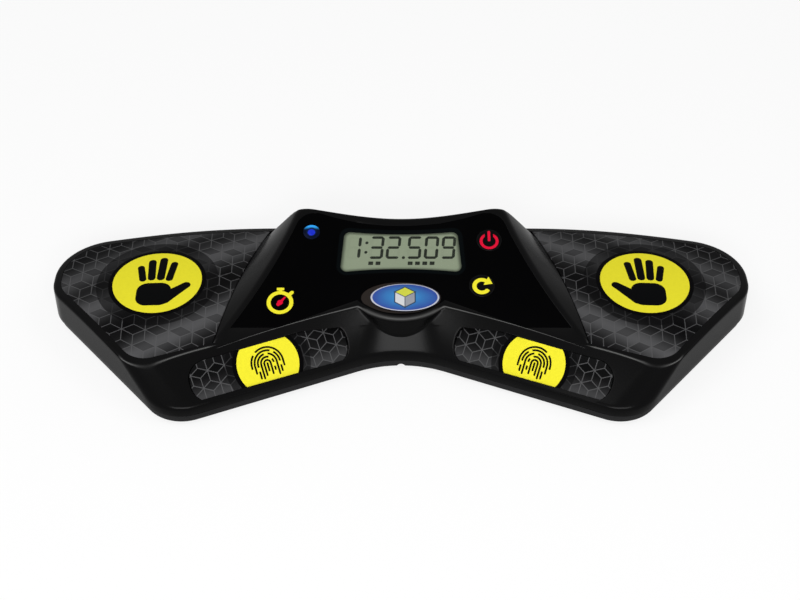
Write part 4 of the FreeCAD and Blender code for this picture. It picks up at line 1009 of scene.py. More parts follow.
def strip_finish():
    """Connector strip: silicone with fine conducting layers across it."""
    work = Shading("connector_strip")
    across = work.along((1 / MM, 0.0, 0.0))
    layer = work.maths("PINGPONG", across, 0.25)
    tone = work.mix(work.between(layer, 0.08, 0.16), (0.62, 0.34, 0.34), (0.06, 0.055, 0.055))
    fine = work.noise(1600.0, 2.0)
    work.set(Base_Color=tone, Roughness=work.gloss(fine, 0.6, 0.75), Specular_IOR_Level=0.3)
    return work.bump(layer, 0.15, 0.00002)


# ------------------------------------------------------------------ housing
def plan_normals(loop):
    """Inward unit normals of a line in plan that runs anticlockwise round the housing."""
    along = unit(np.gradient(loop, axis=0))
    return np.stack([-along[:, 1], along[:, 0]], 1)


def crown_edge():
    """Height at which each wall point of the left half meets the wing's crown."""
    def gap(z):
        point = wall_at(LOW, HIGH, z)
        return crown_z(point[:, 0], point[:, 1]) - z
    return bisected(gap, np.full(len(LOW), LIP_Z), np.full(len(LOW), TOP_Z))


def pad_corners(extra=0.0):
    """Outline of a hand pad, extra millimetres outside its own edge."""
    share = (CROWN_Z - LIP_Z) / (TOP_Z - LIP_Z) * PAD_LEVEL
    low, high = np.array(skirt_corners(0)), np.array(skirt_corners(1))
    depths = np.full(len(low), PAD_RIM)
    depths[4:6] = PAD_FRONT_RIM
    return inset(low + (high - low) * share, depths - extra)


HIGHLIGHT_ROWS = np.array([0.0, 0.0, 0.35, 1.0, 0.55, 0.1, 0.0])     # painted highlight across a rounded edge's rows
RIM_FADE = 1.5                                               # the rim's rounding fades over this length


def front_share(corner):
    """One for points of a top edge on the sloping front, nothing elsewhere, and a smooth step."""
    near = np.abs(front_gap(corner[:, 0], corner[:, 1], corner[:, 2]))
    near = np.where(corner[:, 1] < -12.0, near, 9.0)
    share = np.clip((near - 0.2) / 2.5, 0, 1)
    return 1 - share * share * (3 - 2 * share)


def edge_radius(corner, wide):
    """Edge rounding at points of a top edge: the front edge's own there, a wider one elsewhere."""
    return wide + (sizes().brow_round / MM - wide) * front_share(corner)


def rim_rows():
    """Start, corner and end rows of the rounded rim, the row at the film's edge, and the share of the painted
    highlight along the rim.

    The rounding fades to nothing where the console rises from the rim.
    """
    edge_z = crown_edge()
    corner = wall_at(LOW, HIGH, edge_z)
    radius = edge_radius(corner, sizes().rim_round / MM)
    below = wall_at(LOW, HIGH, edge_z - 0.5)
    clear = np.clip(-console_gap(corner[:, 0], corner[:, 1], corner[:, 2]) / RIM_FADE, 0.0, 1.0)
    reach = np.maximum((radius * clear)[:, None], 0.02)
    pad = left_half(rounded_loop(pad_corners(0.05)))
    pad_edge = on_plan(pad, crown_z(pad[:, 0], pad[:, 1]))
    start = corner + unit(below - corner) * reach
    plan = corner[:, :2] + unit(pad_edge[:, :2] - corner[:, :2]) * reach
    end = on_plan(plan, crown_z(plan[:, 0], plan[:, 1]))
    return start, corner, end, pad_edge, front_share(corner) * clear


def slot_outline(grow, counts):
    """Rounded slot outline in slot coordinates, from the middle of its lower left corner."""
    half_l, half_w, radius = SLOT_SIZE[0] / 2 + grow, SLOT_SIZE[1] / 2 + grow, SLOT_ROUND + grow
    corners = [(-half_l, -half_w, radius), (half_l, -half_w, radius),
               (half_l, half_w, radius), (-half_l, half_w, radius)]
    steps = 40
    loop = np.roll(rounded_loop(corners, steps, steps), -steps // 2, 0)
    sections = np.split(np.concatenate([loop, loop[:1]]), [2 * steps, 4 * steps, 6 * steps])
    sections = [np.concatenate([sections[i], sections[i + 1][:1]]) for i in range(3)] + [sections[3]]
    return np.concatenate([resampled(part, count) for part, count in zip(sections, counts)])


def face_point(spot):
    """Point of the wall for a position along LOW and a height share, both as arrays."""
    steps = np.arange(len(LOW))
    low = np.stack([np.interp(spot[..., 0], steps, LOW[:, i]) for i in (0, 1)], -1)
    high = np.stack([np.interp(spot[..., 0], steps, HIGH[:, i]) for i in (0, 1)], -1)
    return wall_at(low, high, LIP_Z + spot[..., 1] * (TOP_Z - LIP_Z))


def face_under(outline):
    """Positions on the wall that lie square under points of the slot's plane, by Newton's steps."""
    origin, along, up, _ = slot_axes()

    def offset(spot):
        away = face_point(spot) - origin
        return np.stack([away @ along, away @ up], -1) - outline

    first = 4 * (ARC_STEPS + SIDE_STEPS) + ARC_STEPS // 2 + SIDE_STEPS // 2
    spot = np.stack([np.full(len(outline), float(first)), np.full(len(outline), 0.2)], 1)
    for _ in range(12):
        now = offset(spot)
        by_step = (offset(spot + (0.2, 0.0)) - now) / 0.2
        by_rise = (offset(spot + (0.0, 0.002)) - now) / 0.002
        det = by_step[:, 0] * by_rise[:, 1] - by_step[:, 1] * by_rise[:, 0]
        spot[:, 0] -= (now[:, 0] * by_rise[:, 1] - now[:, 1] * by_rise[:, 0]) / det
        spot[:, 1] -= (by_step[:, 0] * now[:, 1] - by_step[:, 1] * now[:, 0]) / det
    return spot


SLOT_LIP = 0.3                               # rounding of a slot's edge


def slot_patches(first, last, low_rise, high_rise, rows):
    """The sloping front round one slot, and the slot's rounded lip, wall and floor edge.

    A ring is carried from the slot's outline to the border of its share of the front, as a straight
    blend in (position, height share); the slot's rows follow the same outline down its own axis.
    """
    steps = np.arange(first, last + 1)
    bottom = np.stack([steps, low_rise[steps]], 1)[:-1]
    top = np.stack([steps, high_rise[steps]], 1)[:0:-1]
    share = np.linspace(0, 1, rows)[:-1]
    right, left = [np.stack([np.full(rows - 1, step), start + share * (end - start)], 1)
                   for step, start, end in ((last, low_rise[last], high_rise[last]),
                                            (first, high_rise[first], low_rise[first]))]
    border = np.concatenate([bottom, right, top, left])
    counts = (len(bottom), len(right), len(top), len(left))
    grown = slot_outline(SLOT_LIP, counts)
    edge = slot_outline(0.0, counts)
    inner = face_under(grown)
    blend = np.linspace(0, 1, 7)[:, None, None] ** 1.3
    ring = face_point(inner + blend * (border - inner))
    edge_points = face_point(face_under(edge))
    wall = edge_points - slot_axes()[3] * SLOT_LIP
    deep = np.full((len(edge), 1), -SLOT_DEPTH)
    floor, floor_in = [to_slot(np.concatenate([line, deep], 1))
                       for line in (edge, slot_outline(-2.0, counts))]
    lip_rows = bent(ring[0], edge_points, wall, 4)
    well = lip_rows + [wall * 0.5 + floor * 0.5, floor, floor_in]
    return [patch(closed(ring)[:, ::-1]), patch(closed(np.array(well)))]


def wing_patches():
    """Left half of the skirt, front, rim and pad recess, as profiles carried along the outline."""
    start, corner, end, pad_edge, edge_highlight = rim_rows()
    inward = plan_normals(LOW)
    seam = SEAM_Z + SEAM_GAP
    lip = sizes().lip_round / MM
    shadow = 0.35
    rows = [on_plan(LOW + inward * 2.0, seam), on_plan(LOW + inward * shadow, seam)]
    rows += bent(rows[-1], on_plan(LOW, seam), on_plan(LOW, seam + shadow), 3)[1:]
    rows.append(on_plan(LOW, (seam + LIP_Z) / 2))
    height = np.full(len(LOW), LIP_Z)
    above = wall_at(LOW, HIGH, height + lip)
    rows += bent(on_plan(LOW, LIP_Z - lip), on_plan(LOW, LIP_Z), above, 4)
    lower = np.stack(rows, 1)
    low_rise = np.full(len(LOW), lip / (TOP_Z - LIP_Z))
    high_rise = (start[:, 2] - LIP_Z) / (TOP_Z - LIP_Z)
    count = 9
    share = np.linspace(0, 1, count)[None, :]
    rise = low_rise[:, None] + share * (high_rise - low_rise)[:, None]
    spots = np.stack(np.broadcast_arrays(np.arange(len(LOW))[:, None], rise), -1).astype(float)
    face = face_point(spots)
    outline = face_under(slot_outline(SLOT_LIP, (20, 10, 20, 10)))
    first, last = int(outline[:, 0].min() - 0.7), int(outline[:, 0].max() + 1.7)
    sunk = pad_edge - (0, 0, PAD_STEP + 0.1)
    floor = on_plan(sunk[:, :2] + unit(PALM_SPOT - sunk[:, :2]) * 2.0, sunk[:, 2])
    rim = np.stack(bent(start, corner, end, 6) + [pad_edge, sunk, floor], 1)
    # painted highlight along the front rim, strongest in the middle of the rounding
    worn = edge_highlight[:, None] * np.append(HIGHLIGHT_ROWS, (0.0, 0.0, 0.0))
    patches = [patch(lower), patch(face[:first + 1]), patch(face[last:]), patch(rim, worn=worn)]
    return patches + slot_patches(first, last, low_rise, high_rise, count)


HUB_Y = -2.0                                 # the rays round the console start here, at X 0
CONSOLE_NORMAL = np.array([0.0, -math.sin(CONSOLE_TILT), math.cos(CONSOLE_TILT)])


def plate_gap(x, y):
    """How far a point in plan lies inside the overlay's outline.

    The outline runs beside the crest, round the hollow back and along the sloping front edge, and
    the nose's own circle is joined to it.
    """
    across = np.abs(x)
    side = (half_width(CREST_HALF, y) - PLATE_RIMS[0] - across) * 0.92
    rear = np.hypot(x, y - REAR_Y - REAR_RADIUS) - REAR_RADIUS - PLATE_RIMS[1]
    front = np.minimum(y - PLATE_CORNER[1],
                       (y - PLATE_CORNER[1] - PLATE_SLOPE * (PLATE_CORNER[0] - across))
                       / math.hypot(1.0, PLATE_SLOPE))
    body = np.minimum(round_min(side, rear, PLATE_ROUND), front)
    pod = np.minimum(POD_RADIUS - PLATE_RIMS[2] - np.hypot(x, y - POD_Y), POD_Y - y + POD_STEP)
    return np.maximum(body, pod)


def plate_line(turn, inside=0.0):
    """The overlay's outline in plan, or a line some millimetres inside it, along rays from the hub."""
    cos, sin = np.cos(turn), np.sin(turn)
    far = bisected(lambda r: plate_gap(r * cos, HUB_Y + r * sin) - inside,
                   np.full(turn.shape, 4.0), np.full(turn.shape, 110.0))
    return np.stack([far * cos, HUB_Y + far * sin], 1)


def off_console(plan, out):
    """Plan points lifted to the console plane, then moved square to it."""
    return on_plan(plan, console_z(plan[:, 1])) + CONSOLE_NORMAL * out


def console_patches():
    """Walls, rounded crest and top rim of the console and nose, as profiles along one loop.

    From a centre on the axis, a ray in each direction is followed to the section's border at each
    height, from the foot line on the wings to the crest in the console's plane.
    """
    angles = np.linspace(0, 2 * math.pi, 2401)

    def border(turn, z):
        cos, sin = np.cos(turn), np.sin(turn)
        far = bisected(lambda r: console_gap(r * cos, HUB_Y + r * sin, z), np.full(z.shape, 4.0),
                       np.full(z.shape, 120.0), 34)
        return np.stack([far * cos, HUB_Y + far * sin, z], -1)

    def crest_height(turn):
        base = np.zeros_like(turn)
        return bisected(lambda z: console_z(border(turn, z)[..., 1]) - z, base + 12.0, base + TOP_Z, 30)

    rough = border(angles, crest_height(angles))
    gone = run_lengths(rough)
    turn = np.interp(np.linspace(0, gone[-1], 961), gone, angles)
    crest_z = crest_height(turn)
    corner = border(turn, crest_z)

    def foot_gap(z):
        spot = border(turn, z)
        ground = np.minimum(crown_z(spot[:, 0], spot[:, 1]), front_z(spot[:, 0], spot[:, 1]) + 0.05)
        return ground - z
    foot_z = bisected(foot_gap, np.full(turn.shape, LIP_Z), crest_z, 24) - 0.25
    radius = edge_radius(corner, sizes().crest_round / MM)
    down = unit(border(turn, crest_z - 0.5) - corner)
    start = corner + down * radius[:, None]
    share = np.linspace(0, 1, 12)[:, None]
    heights = foot_z + share * (start[:, 2] - foot_z)
    walls = border(np.broadcast_to(turn, heights.shape), heights)
    plan = plate_line(turn, -0.1)
    edge = on_plan(plan, console_z(plan[:, 1]))
    most = 0.8 * np.linalg.norm(edge - corner, axis=1)
    end = corner + unit(edge - corner) * np.minimum(radius, most)[:, None]
    soft, ledge = 0.15, 2.4
    inward = unit(edge - corner)
    sunk = edge - CONSOLE_NORMAL * (PLATE + 0.05)
    rows = list(walls[:-1]) + bent(start, corner, end, len(HIGHLIGHT_ROWS) - 1)
    rows += bent(edge - inward * soft, edge, edge - CONSOLE_NORMAL * soft, 2)
    rows += [sunk, sunk + inward * ledge]
    # painted highlight along the console's front edge and, fainter, along the nose's rim
    nose = np.clip(1 - np.abs(np.hypot(corner[:, 0], corner[:, 1] - POD_Y) - POD_RADIUS) / 0.2, 0, 1)
    nose = 0.6 * nose * np.clip((POD_Y - 6.0 - corner[:, 1]) / 10.0, 0, 1)
    worn = np.zeros((len(rows), len(turn)))
    crest = len(walls) - 1
    worn[crest:crest + len(HIGHLIGHT_ROWS)] = HIGHLIGHT_ROWS[:, None] * np.maximum(front_share(corner), nose)
    return [patch(np.stack(rows, 0), worn=worn)]


def facing_out(piece, centre):
    """Turn a piece's faces over if they look towards the point inside it."""
    mesh = piece.data
    centres, normals = np.empty((2, len(mesh.polygons) * 3))
    mesh.polygons.foreach_get("center", centres)
    mesh.polygons.foreach_get("normal", normals)
    away = centres.reshape(-1, 3) - to_metres(centre)
    if (away * normals.reshape(-1, 3)).sum() < 0:
        mesh.flip_normals()


def open_socket(piece):
    """Cut the data socket's round opening into the back wall.

    The wall's faces within a square round the hole are taken out, and the area between the square's
    ragged border and the hole's circle is filled again.
    """
    across, height, radius = SOCKET
    work = bmesh.new()
    work.from_mesh(piece.data)
    gone = []
    for face in work.faces:
        x, y, z = face.calc_center_median() / MM
        if y - SHIFT_Y > 10 and max(abs(x - across), abs(z - height)) < SOCKET_REACH:
            gone.append(face)
    bmesh.ops.delete(work, geom=gone, context="FACES")

    def beside(spot):
        x, y, z = spot / MM
        return (abs(x - across) < SOCKET_REACH + 4 and abs(z - height) < SOCKET_REACH + 2.0
                and y - SHIFT_Y > 10 and z > SEAM_Z + 1.2)

    border = [edge for edge in work.edges if edge.is_boundary and all(beside(v.co) for v in edge.verts)]
    wall_y = sum(edge.verts[0].co.y for edge in border) / len(border)
    turn = np.linspace(0, 2 * math.pi, 49)[:-1]
    spots = np.stack([across + radius * np.cos(turn), height + radius * np.sin(turn)], 1) * MM
    ring = [work.verts.new((x, wall_y, z)) for x, z in spots]
    wires = [work.edges.new((a, b)) for a, b in zip(ring, ring[1:] + ring[:1])]
    made = bmesh.ops.triangle_fill(work, edges=border + wires, use_beauty=True, normal=(0, 1, 0))
    for face in made["geom"]:
        if isinstance(face, bmesh.types.BMFace) and face.normal.y < 0:
            face.normal_flip()
    inner = [work.verts.new((v.co.x, v.co.y - SOCKET_DEPTH * MM, v.co.z)) for v in ring]
    for i in range(len(ring)):
        work.faces.new((ring[i - 1], ring[i], inner[i], inner[i - 1]))
    work.to_mesh(piece.data)
    work.free()


class CUBETIMER_OT_housing(bpy.types.Operator):
    """Build the upper housing: skirt, sloping front with its slots, wing rims, console and nose"""
    bl_idname = "cubetimer.housing"
    bl_label = "Housing"

    def execute(self, context):
        finish = moulded("satin_housing", colours().shell, 0.21, 2600.0, 0.00002, 0.045)
        left = wing_patches()
        wings = surface("housing_wings", left + [mirrored(p) for p in left], merge=2e-5, sharp=24.0)
        open_socket(wings)
        facing_out(wings, (0, -20, 8))
        dressed(wings, finish, replaces=("top_shell",))
        console = surface("housing_console", console_patches(), merge=2e-5)
        facing_out(console, (0, -10, 20))
        dressed(console, finish)
        return {"FINISHED"}


# ------------------------------------------------------------------ printed films
LATTICE_START = ((-109.29, 18.82), (-111.34, 18.72))       # first crossing of the left and right wing
LATTICE_ROW, LATTICE_STEP, LATTICE_PITCH = (9.599, -0.848), (0.221, -8.156), 9.62
STREAKS = ((32.5, 6.0, 0.75), (64.0, 6.5, 0.70), (84.0, 6.0, 0.5))     # place, width and strength
STREAK_WAY = np.array([-0.545, 0.839, 0.0])
SLOT_LATTICE_START, SLOT_LATTICE_ROW, SLOT_LATTICE_STEP = (-24.82, 3.97), (7.089, 0.246), (0.122, -6.257)
# The finger films' streak is painted light: it makes each film lighter towards its lower edge.
SLOT_LATTICE_PITCH, SLOT_LIGHT_BAND = 7.15, (-7.2, 5.0, 0.42)
EVEN_REACH = 19.6                          # the film's rings lie evenly out to here, past the disc
FILM_SINK = 0.05                           # a hand film's top under the crown


def film_radius(turn):
    """Distance from the palm spot to the film's edge: the pad outline or the console's foot line."""
    pad = left_half(rounded_loop(pad_corners(0.0))) - PALM_SPOT
    angle, far = np.arctan2(pad[:, 1], pad[:, 0]), np.hypot(pad[:, 0], pad[:, 1])
    keep = pad[:, 0] < 60.0
    order = np.argsort(angle[keep])
    outline = np.interp(turn, angle[keep][order], far[keep][order], period=2 * math.pi)

    def beside_console(r):
        x, y = PALM_SPOT[0] + r * np.cos(turn), PALM_SPOT[1] + r * np.sin(turn)
        return -x - half_width(FOOT_HALF, y)
    foot = bisected(beside_console, np.zeros_like(turn), np.full(turn.shape, 90.0))
    return np.minimum(outline, foot)


def hand_film():
    """The left film: rings round the palm spot out to the film's edge, laid on the crown.

    A point's height is the crown's, less the film's depth in its recess; its edge is softly rounded
    and turned down.
    """
    turn = np.linspace(0, 2 * math.pi, 541)
    edge = film_radius(turn)
    inner = np.linspace(0, EVEN_REACH, 52)[:, None] + 0 * turn
    share = np.linspace(0, 1, 20)[1:, None]
    outer = EVEN_REACH + share * (np.maximum(edge, 20.0) - 0.15 - EVEN_REACH)

    def lowered(radius, drop):
        x, y = PALM_SPOT[0] + radius * np.cos(turn), PALM_SPOT[1] + radius * np.sin(turn)
        return np.stack([x, y, crown_z(x, y) - drop], -1)

    radius = np.concatenate([inner, outer])
    rows = [lowered((edge + grow)[None], FILM_SINK + drop)
            for drop, grow in ((0.09, -0.04), (0.2, 0.0), (FILM, 0.0))]
    points = np.concatenate([lowered(radius, FILM_SINK)] + rows)
    far = np.concatenate([radius, np.repeat(edge[None], 3, 0)])
    symbol = INK - open_hand(far * np.cos(turn), far * np.sin(turn))
    return patch(points, (-100.0, -12.0, -500.0), spot=far, symbol=symbol)


def finger_film():
    """The left slot's film: a flat sheet with round ends, in the slot's own plane."""
    half_l, half_w, radius = SLOT_SIZE[0] / 2 - 0.1, SLOT_SIZE[1] / 2 - 0.1, SLOT_ROUND - 0.1
    along = half_l * np.sin(np.linspace(-math.pi / 2, math.pi / 2, 341))
    past = np.maximum(np.abs(along) - half_l + radius, 0)
    half = half_w - radius + np.sqrt(np.maximum(radius ** 2 - past ** 2, 0))
    share = np.linspace(-1, 1, 67)[:, None]
    up = share * half
    grid = np.stack(np.broadcast_arrays(along, up, GLUE_TOP), -1)
    spot_x, spot_y = grid[..., 0] - FINGER_SPOT[0], grid[..., 1] - FINGER_SPOT[1]
    values = {"spot": np.hypot(spot_x, spot_y), "symbol": INK - finger_ridges(spot_x + 0.2, spot_y - 0.2)}
    return patch(to_slot(grid), to_slot(np.array([0.0, 0.0, -500.0])), **values)


def lattice_axes(row, step, pitch, basis=np.eye(3)[:2]):
    """Vectors that turn a place into lattice coordinates whose crossings are a pitch apart."""
    inverse = np.linalg.inv(np.array([row, step]).T)
    scale = np.array([pitch, -pitch * math.sqrt(3) / 2])[:, None]
    return (inverse * scale) @ np.asarray(basis)


def film_pair(kind, left, disc, axes, starts, streaks, way, pitch):
    """The left film and its mirror image, each with the print that starts at its own crossing."""
    first, second = axes
    for side, name, film, start in ((1, "left", left, starts[0]), (-1, "right", mirrored(left), starts[1])):
        flip = np.array([side, 1, 1])
        finish = printed_film(kind + "_film_" + name, first * flip, second * flip,
                              (first @ start, second @ start), streaks, way * flip, disc, pitch)
        piece = surface(kind + "_print_" + name, [film])
        dressed(piece, finish, replaces=(kind + "_pad_" + name,))


class CUBETIMER_OT_hand_films(bpy.types.Operator):
    """Build the two printed hand films with their cube lattice, palm disc and open hand"""
    bl_idname = "cubetimer.hand_films"
    bl_label = "Hand films"

    def execute(self, context):
        axes = lattice_axes(LATTICE_ROW, LATTICE_STEP, LATTICE_PITCH)
        starts = [np.array([x, y + SHIFT_Y, 0.0]) for x, y in LATTICE_START]
        film_pair("hand", hand_film(), sizes().palm_disc / MM, axes, starts, STREAKS, STREAK_WAY,
                  LATTICE_PITCH)
        return {"FINISHED"}


class CUBETIMER_OT_finger_films(bpy.types.Operator):
    """Build the two printed finger films in the slots of the sloping front"""
    bl_idname = "cubetimer.finger_films"
    bl_label = "Finger films"

    def execute(self, context):
        origin, along, up, _ = slot_axes()
        base = origin + (0.0, SHIFT_Y, 0.0)
        axes = lattice_axes(SLOT_LATTICE_ROW, SLOT_LATTICE_STEP, SLOT_LATTICE_PITCH, (along, up))
        start = along * SLOT_LATTICE_START[0] + up * SLOT_LATTICE_START[1] + base
        # painted light: a band that makes the finger film lighter towards its lower edge
        streak = (up @ base + SLOT_LIGHT_BAND[0], *SLOT_LIGHT_BAND[1:])
        film_pair("finger", finger_film(), sizes().finger_disc / MM, axes, (start, start), (streak,), up,
                  SLOT_LATTICE_PITCH)
        return {"FINISHED"}


# ------------------------------------------------------------------ console
BELOW = to_console(np.array([0.0, 20.0, -1000.0]))


def ring_line(spot, half, count):
    """Points of an oval in console coordinates, without a height."""
    turn = np.linspace(0, 2 * math.pi, count, endpoint=False)
    return np.stack([spot[0] + half[0] * np.cos(turn), spot[1] + half[1] * np.sin(turn)], 1)


def window_line(grow):
    """Display opening: a rounded trapezium whose long edges bow inwards, parabolas in the middle."""
    (low_x, low_s), (top_x, top_s) = WINDOW_LOW, WINDOW_TOP
    radius = WINDOW_ROUND + grow
    corners = [(low_x + grow, low_s - grow, radius), (top_x + grow, top_s + grow, radius),
               (-top_x - grow, top_s + grow, radius), (-low_x - grow, low_s - grow, radius)]
    loop = rounded_loop(corners, 12, 30)
    middle = (low_s + top_s) / 2
    away = np.clip(np.abs(loop[:, 1] - middle) / (top_s - middle), 0, 1) ** 2
    bow = WINDOW_WAIST * np.maximum(1 - (loop[:, 0] / top_x) ** 2, 0)
    return np.stack([loop[:, 0], loop[:, 1] - np.sign(loop[:, 1] - middle) * bow * away], 1)


def raised(line, out):
    """A line of console coordinates at a height, in the outline's frame."""
    return to_console(np.concatenate([line, np.full((len(line), 1), out)], 1))


HOLE_SOFT = 0.14                             # rounding of an opening's edge


def hole_patch(line_of, more=()):
    """Rounded edge and wall of an opening whose outline is a function of how far it is grown."""
    line = line_of(0.0)
    rows = [raised(line_of(grow), 0.0) for grow in more]
    rows += bent(raised(line_of(HOLE_SOFT), 0.0), raised(line, 0.0), raised(line, -HOLE_SOFT), 3)
    return closed(np.array(rows + [raised(line, -PLATE)]))


def overlay_pieces():
    """The overlay: flat between its outline and its openings, with a small round on every edge."""
    turn = np.linspace(0, 2 * math.pi, 1441)[:-1]
    soft = 0.25
    line, inner = plate_line(turn), plate_line(turn, soft)
    rim = bent(off_console(inner, 0.0), off_console(line, 0.0), off_console(line, -soft), 4)
    rim.append(off_console(line, -PLATE))
    patches = [patch(closed(np.array(rim)), BELOW)]
    fills = [off_console(inner, 0.0)]
    key, light = (KEY_R + 0.15,) * 2, (LIGHT_R + 0.1,) * 2
    for spot, half, count in ((POWER_SPOT, key, 96), (RESET_SPOT, key, 96), (LIGHT_SPOT, light, 96),
                              (BADGE_SPOT, SEAT_HALF, 160)):
        def line_of(grow, spot=spot, half=half, count=count):
            return ring_line(spot, (half[0] + grow, half[1] + grow), count)
        patches.append(patch(hole_patch(line_of), BELOW))
        fills.append(raised(line_of(HOLE_SOFT), 0.0))
    window = hole_patch(window_line, more=(WINDOW_BORDER, WINDOW_BORDER - 0.25, 1.0, 0.5))
    border = np.ones(window.shape[:2])
    border[0] = 0.0
    patches.append(patch(window, BELOW, border=border))
    fills.append(raised(window_line(WINDOW_BORDER), 0.0))
    mark = turned(np.stack([np.linspace(MARK_R, 0, 40), np.zeros(40)], 1), MARK_SPOT, 144)
    across, up = mark[..., 0] - MARK_SPOT[0], mark[..., 1] - MARK_SPOT[1]
    patches.append(patch(to_console(mark), BELOW, watch=INK - stopwatch_symbol(across, up),
                         pointer=INK - stopwatch_hand(across, up)))
    fills.append(to_console(mark)[0, :-1])
    return patches, fills


def key_cap(spot, symbol):
    """Round key: a very shallow dome with a rounded edge and a straight skirt, round its own axis."""
    radius, top = KEY_R + 0.02, 0.16
    inner = np.linspace(0, radius - 0.45, 34)
    dome = np.stack([inner, top + 0.06 * (1 - (inner / radius) ** 2)], 1)
    profile = np.concatenate([dome, quarter(radius, top, 0.42)[1:], [[radius, -0.7]]])
    grid = turned(profile, spot, 144)
    return patch(to_console(grid), BELOW, symbol=INK - symbol(grid[..., 0] - spot[0], grid[..., 1] - spot[1]))


def status_lens():
    """Shallow domed lens with a raised round core below its middle."""
    radius = np.linspace(0, LIGHT_R - 0.35, 40)
    dome = np.stack([radius, 0.34 - 0.30 * (radius / LIGHT_R) ** 2], 1)
    profile = np.concatenate([dome, quarter(LIGHT_R, dome[-1, 1], 0.3)[1:], [[LIGHT_R, -0.9]]])
    grid = turned(profile, LIGHT_SPOT, 120)
    across, up = grid[..., 0] - LIGHT_SPOT[0], grid[..., 1] - LIGHT_SPOT[1]
    core = np.hypot(across, up + 0.35)
    grid[..., 2] += 0.22 * np.sqrt(np.clip(1 - (core / 1.6) ** 2, 0, 1))
    return patch(to_console(grid), BELOW, rise=up, radius=np.hypot(across, up), core=core)


def medallion():
    """Oval dome: ellipses shrinking to the middle, height by one less the square of the share."""
    share = np.concatenate([np.linspace(0, 0.9, 46), np.linspace(0.905, 1.0, 14)])
    height = 0.22 + 0.34 * (1 - share ** 2)
    height = np.where(share > 0.93, height - 0.10 * np.clip((share - 0.93) / 0.07, 0, 1) ** 2, height)
    turn = np.linspace(0, 2 * math.pi, 241)
    rows = np.concatenate([np.stack([share, height], 1), [[1.0, -0.2], [1.0, -0.95]]])
    x = rows[:, :1] * BADGE_HALF[0] * np.cos(turn)
    y = rows[:, :1] * BADGE_HALF[1] * np.sin(turn)
    grid = np.stack([BADGE_SPOT[0] + BADGE_ASIDE + x, BADGE_SPOT[1] + y, rows[:, 1:] + 0 * turn], -1)
    values = {"share": rows[:, :1] + 0 * turn}
    for name, face, shadow in zip(CUBE_FACES, rhombus_faces(x, y, CUBE_EDGE, CUBE_GAP),
                                  rhombus_faces(x, y, CUBE_EDGE, -CUBE_SHADOW)):
        values[name], values[name + "_shadow"] = INK - face, INK - shadow
    return patch(to_console(grid), BELOW, **values)


def medallion_seat():
    """Floor of the medallion's seat, an oval sheet under the overlay's opening."""
    turn = np.linspace(0, 2 * math.pi, 161)
    share = np.linspace(0.0, 1.0, 12)[:, None]
    x = BADGE_SPOT[0] + share * (SEAT_HALF[0] + 0.3) * np.cos(turn)
    y = BADGE_SPOT[1] + share * (SEAT_HALF[1] + 0.3) * np.sin(turn)
    return patch(to_console(np.stack([x, y, np.full(x.shape, -SEAT_DEPTH)], -1)), BELOW)


def display_sheet():
    """The display's face: a grid that fills the opening's bowed trapezium, a little under the plane.

    The value edge is the distance to the nearest side, rounded in the corners; the display's finish paints
    shade along the sides with it.
    """
    across, up = np.linspace(-1, 1, 241), np.linspace(-1, 1, 97)[:, None]
    half_s = (WINDOW_TOP[1] - WINDOW_LOW[1]) / 2
    s = (WINDOW_LOW[1] + WINDOW_TOP[1]) / 2 + up * half_s
    wide = WINDOW_LOW[0] + (s - WINDOW_LOW[1]) / (2 * half_s) * (WINDOW_TOP[0] - WINDOW_LOW[0])
    x = across * wide
    bow = WINDOW_WAIST * (1 - np.minimum(np.abs(x) / WINDOW_TOP[0], 1) ** 2) * up ** 2 * np.sign(up)
    grid = np.stack([x, s - bow, np.full(x.shape, -DISPLAY_DEPTH)], -1)
    lit, idle = display_figures(grid[..., 0], grid[..., 1] - DIGITS_UP, sizes().digit_height / MM)
    side, end = (1 - np.abs(across)) * wide, (1 - np.abs(up)) * (half_s - bow * np.sign(up))
    return patch(to_console(grid), BELOW, lit=INK - lit, idle=INK - idle,
                 edge=round_min(side, end, WINDOW_ROUND))


class CUBETIMER_OT_overlay(bpy.types.Operator):
    """Build the gloss overlay of the console with its openings, border and watch symbol"""
    bl_idname = "cubetimer.overlay"
    bl_label = "Console overlay"

    def execute(self, context):
        patches, fills = overlay_pieces()
        piece = surface("console_overlay", patches, [fills], tuple(CONSOLE_NORMAL))
        dressed(piece, overlay_print(), replaces=("faceplate",))
        return {"FINISHED"}


class CUBETIMER_OT_keys(bpy.types.Operator):
    """Build the power key and the reset key with their symbols"""
    bl_idname = "cubetimer.keys"
    bl_label = "Keys"

    def execute(self, context):
        tones = colours()
        for name, spot, symbol, colour in (("power", POWER_SPOT, power_symbol, tones.power),
                                           ("reset", RESET_SPOT, reset_symbol, tones.reset)):
            piece = surface(name + "_key_cap", [key_cap(spot, symbol)])
            dressed(piece, key_finish(name + "_key_finish", colour), body=name + "_button")
        return {"FINISHED"}


class CUBETIMER_OT_light(bpy.types.Operator):
    """Build the blue status light"""
    bl_idname = "cubetimer.light"
    bl_label = "Status light"

    def execute(self, context):
        piece = surface("status_lens", [status_lens()])
        dressed(piece, lens_finish(), replaces=("status_light",))
        return {"FINISHED"}


class CUBETIMER_OT_medallion(bpy.types.Operator):
    """Build the oval medallion and its seat on the nose"""
    bl_idname = "cubetimer.medallion"
    bl_label = "Medallion"

    def execute(self, context):
        piece = surface("oval_medallion", [medallion()])
        dressed(piece, medallion_finish(), replaces=("badge",))
        seat = surface("medallion_seat", [medallion_seat()])
        dressed(seat, glossy("seat_gloss", (0.012, 0.009, 0.0075), 0.22, 0.08))
        return {"FINISHED"}


class CUBETIMER_OT_display(bpy.types.Operator):
    """Build the display's face with its figures"""
    bl_idname = "cubetimer.display"
    bl_label = "Display"

    def execute(self, context):
        piece = surface("display_face", [display_sheet()])
        dressed(piece, display_finish())
        return {"FINISHED"}


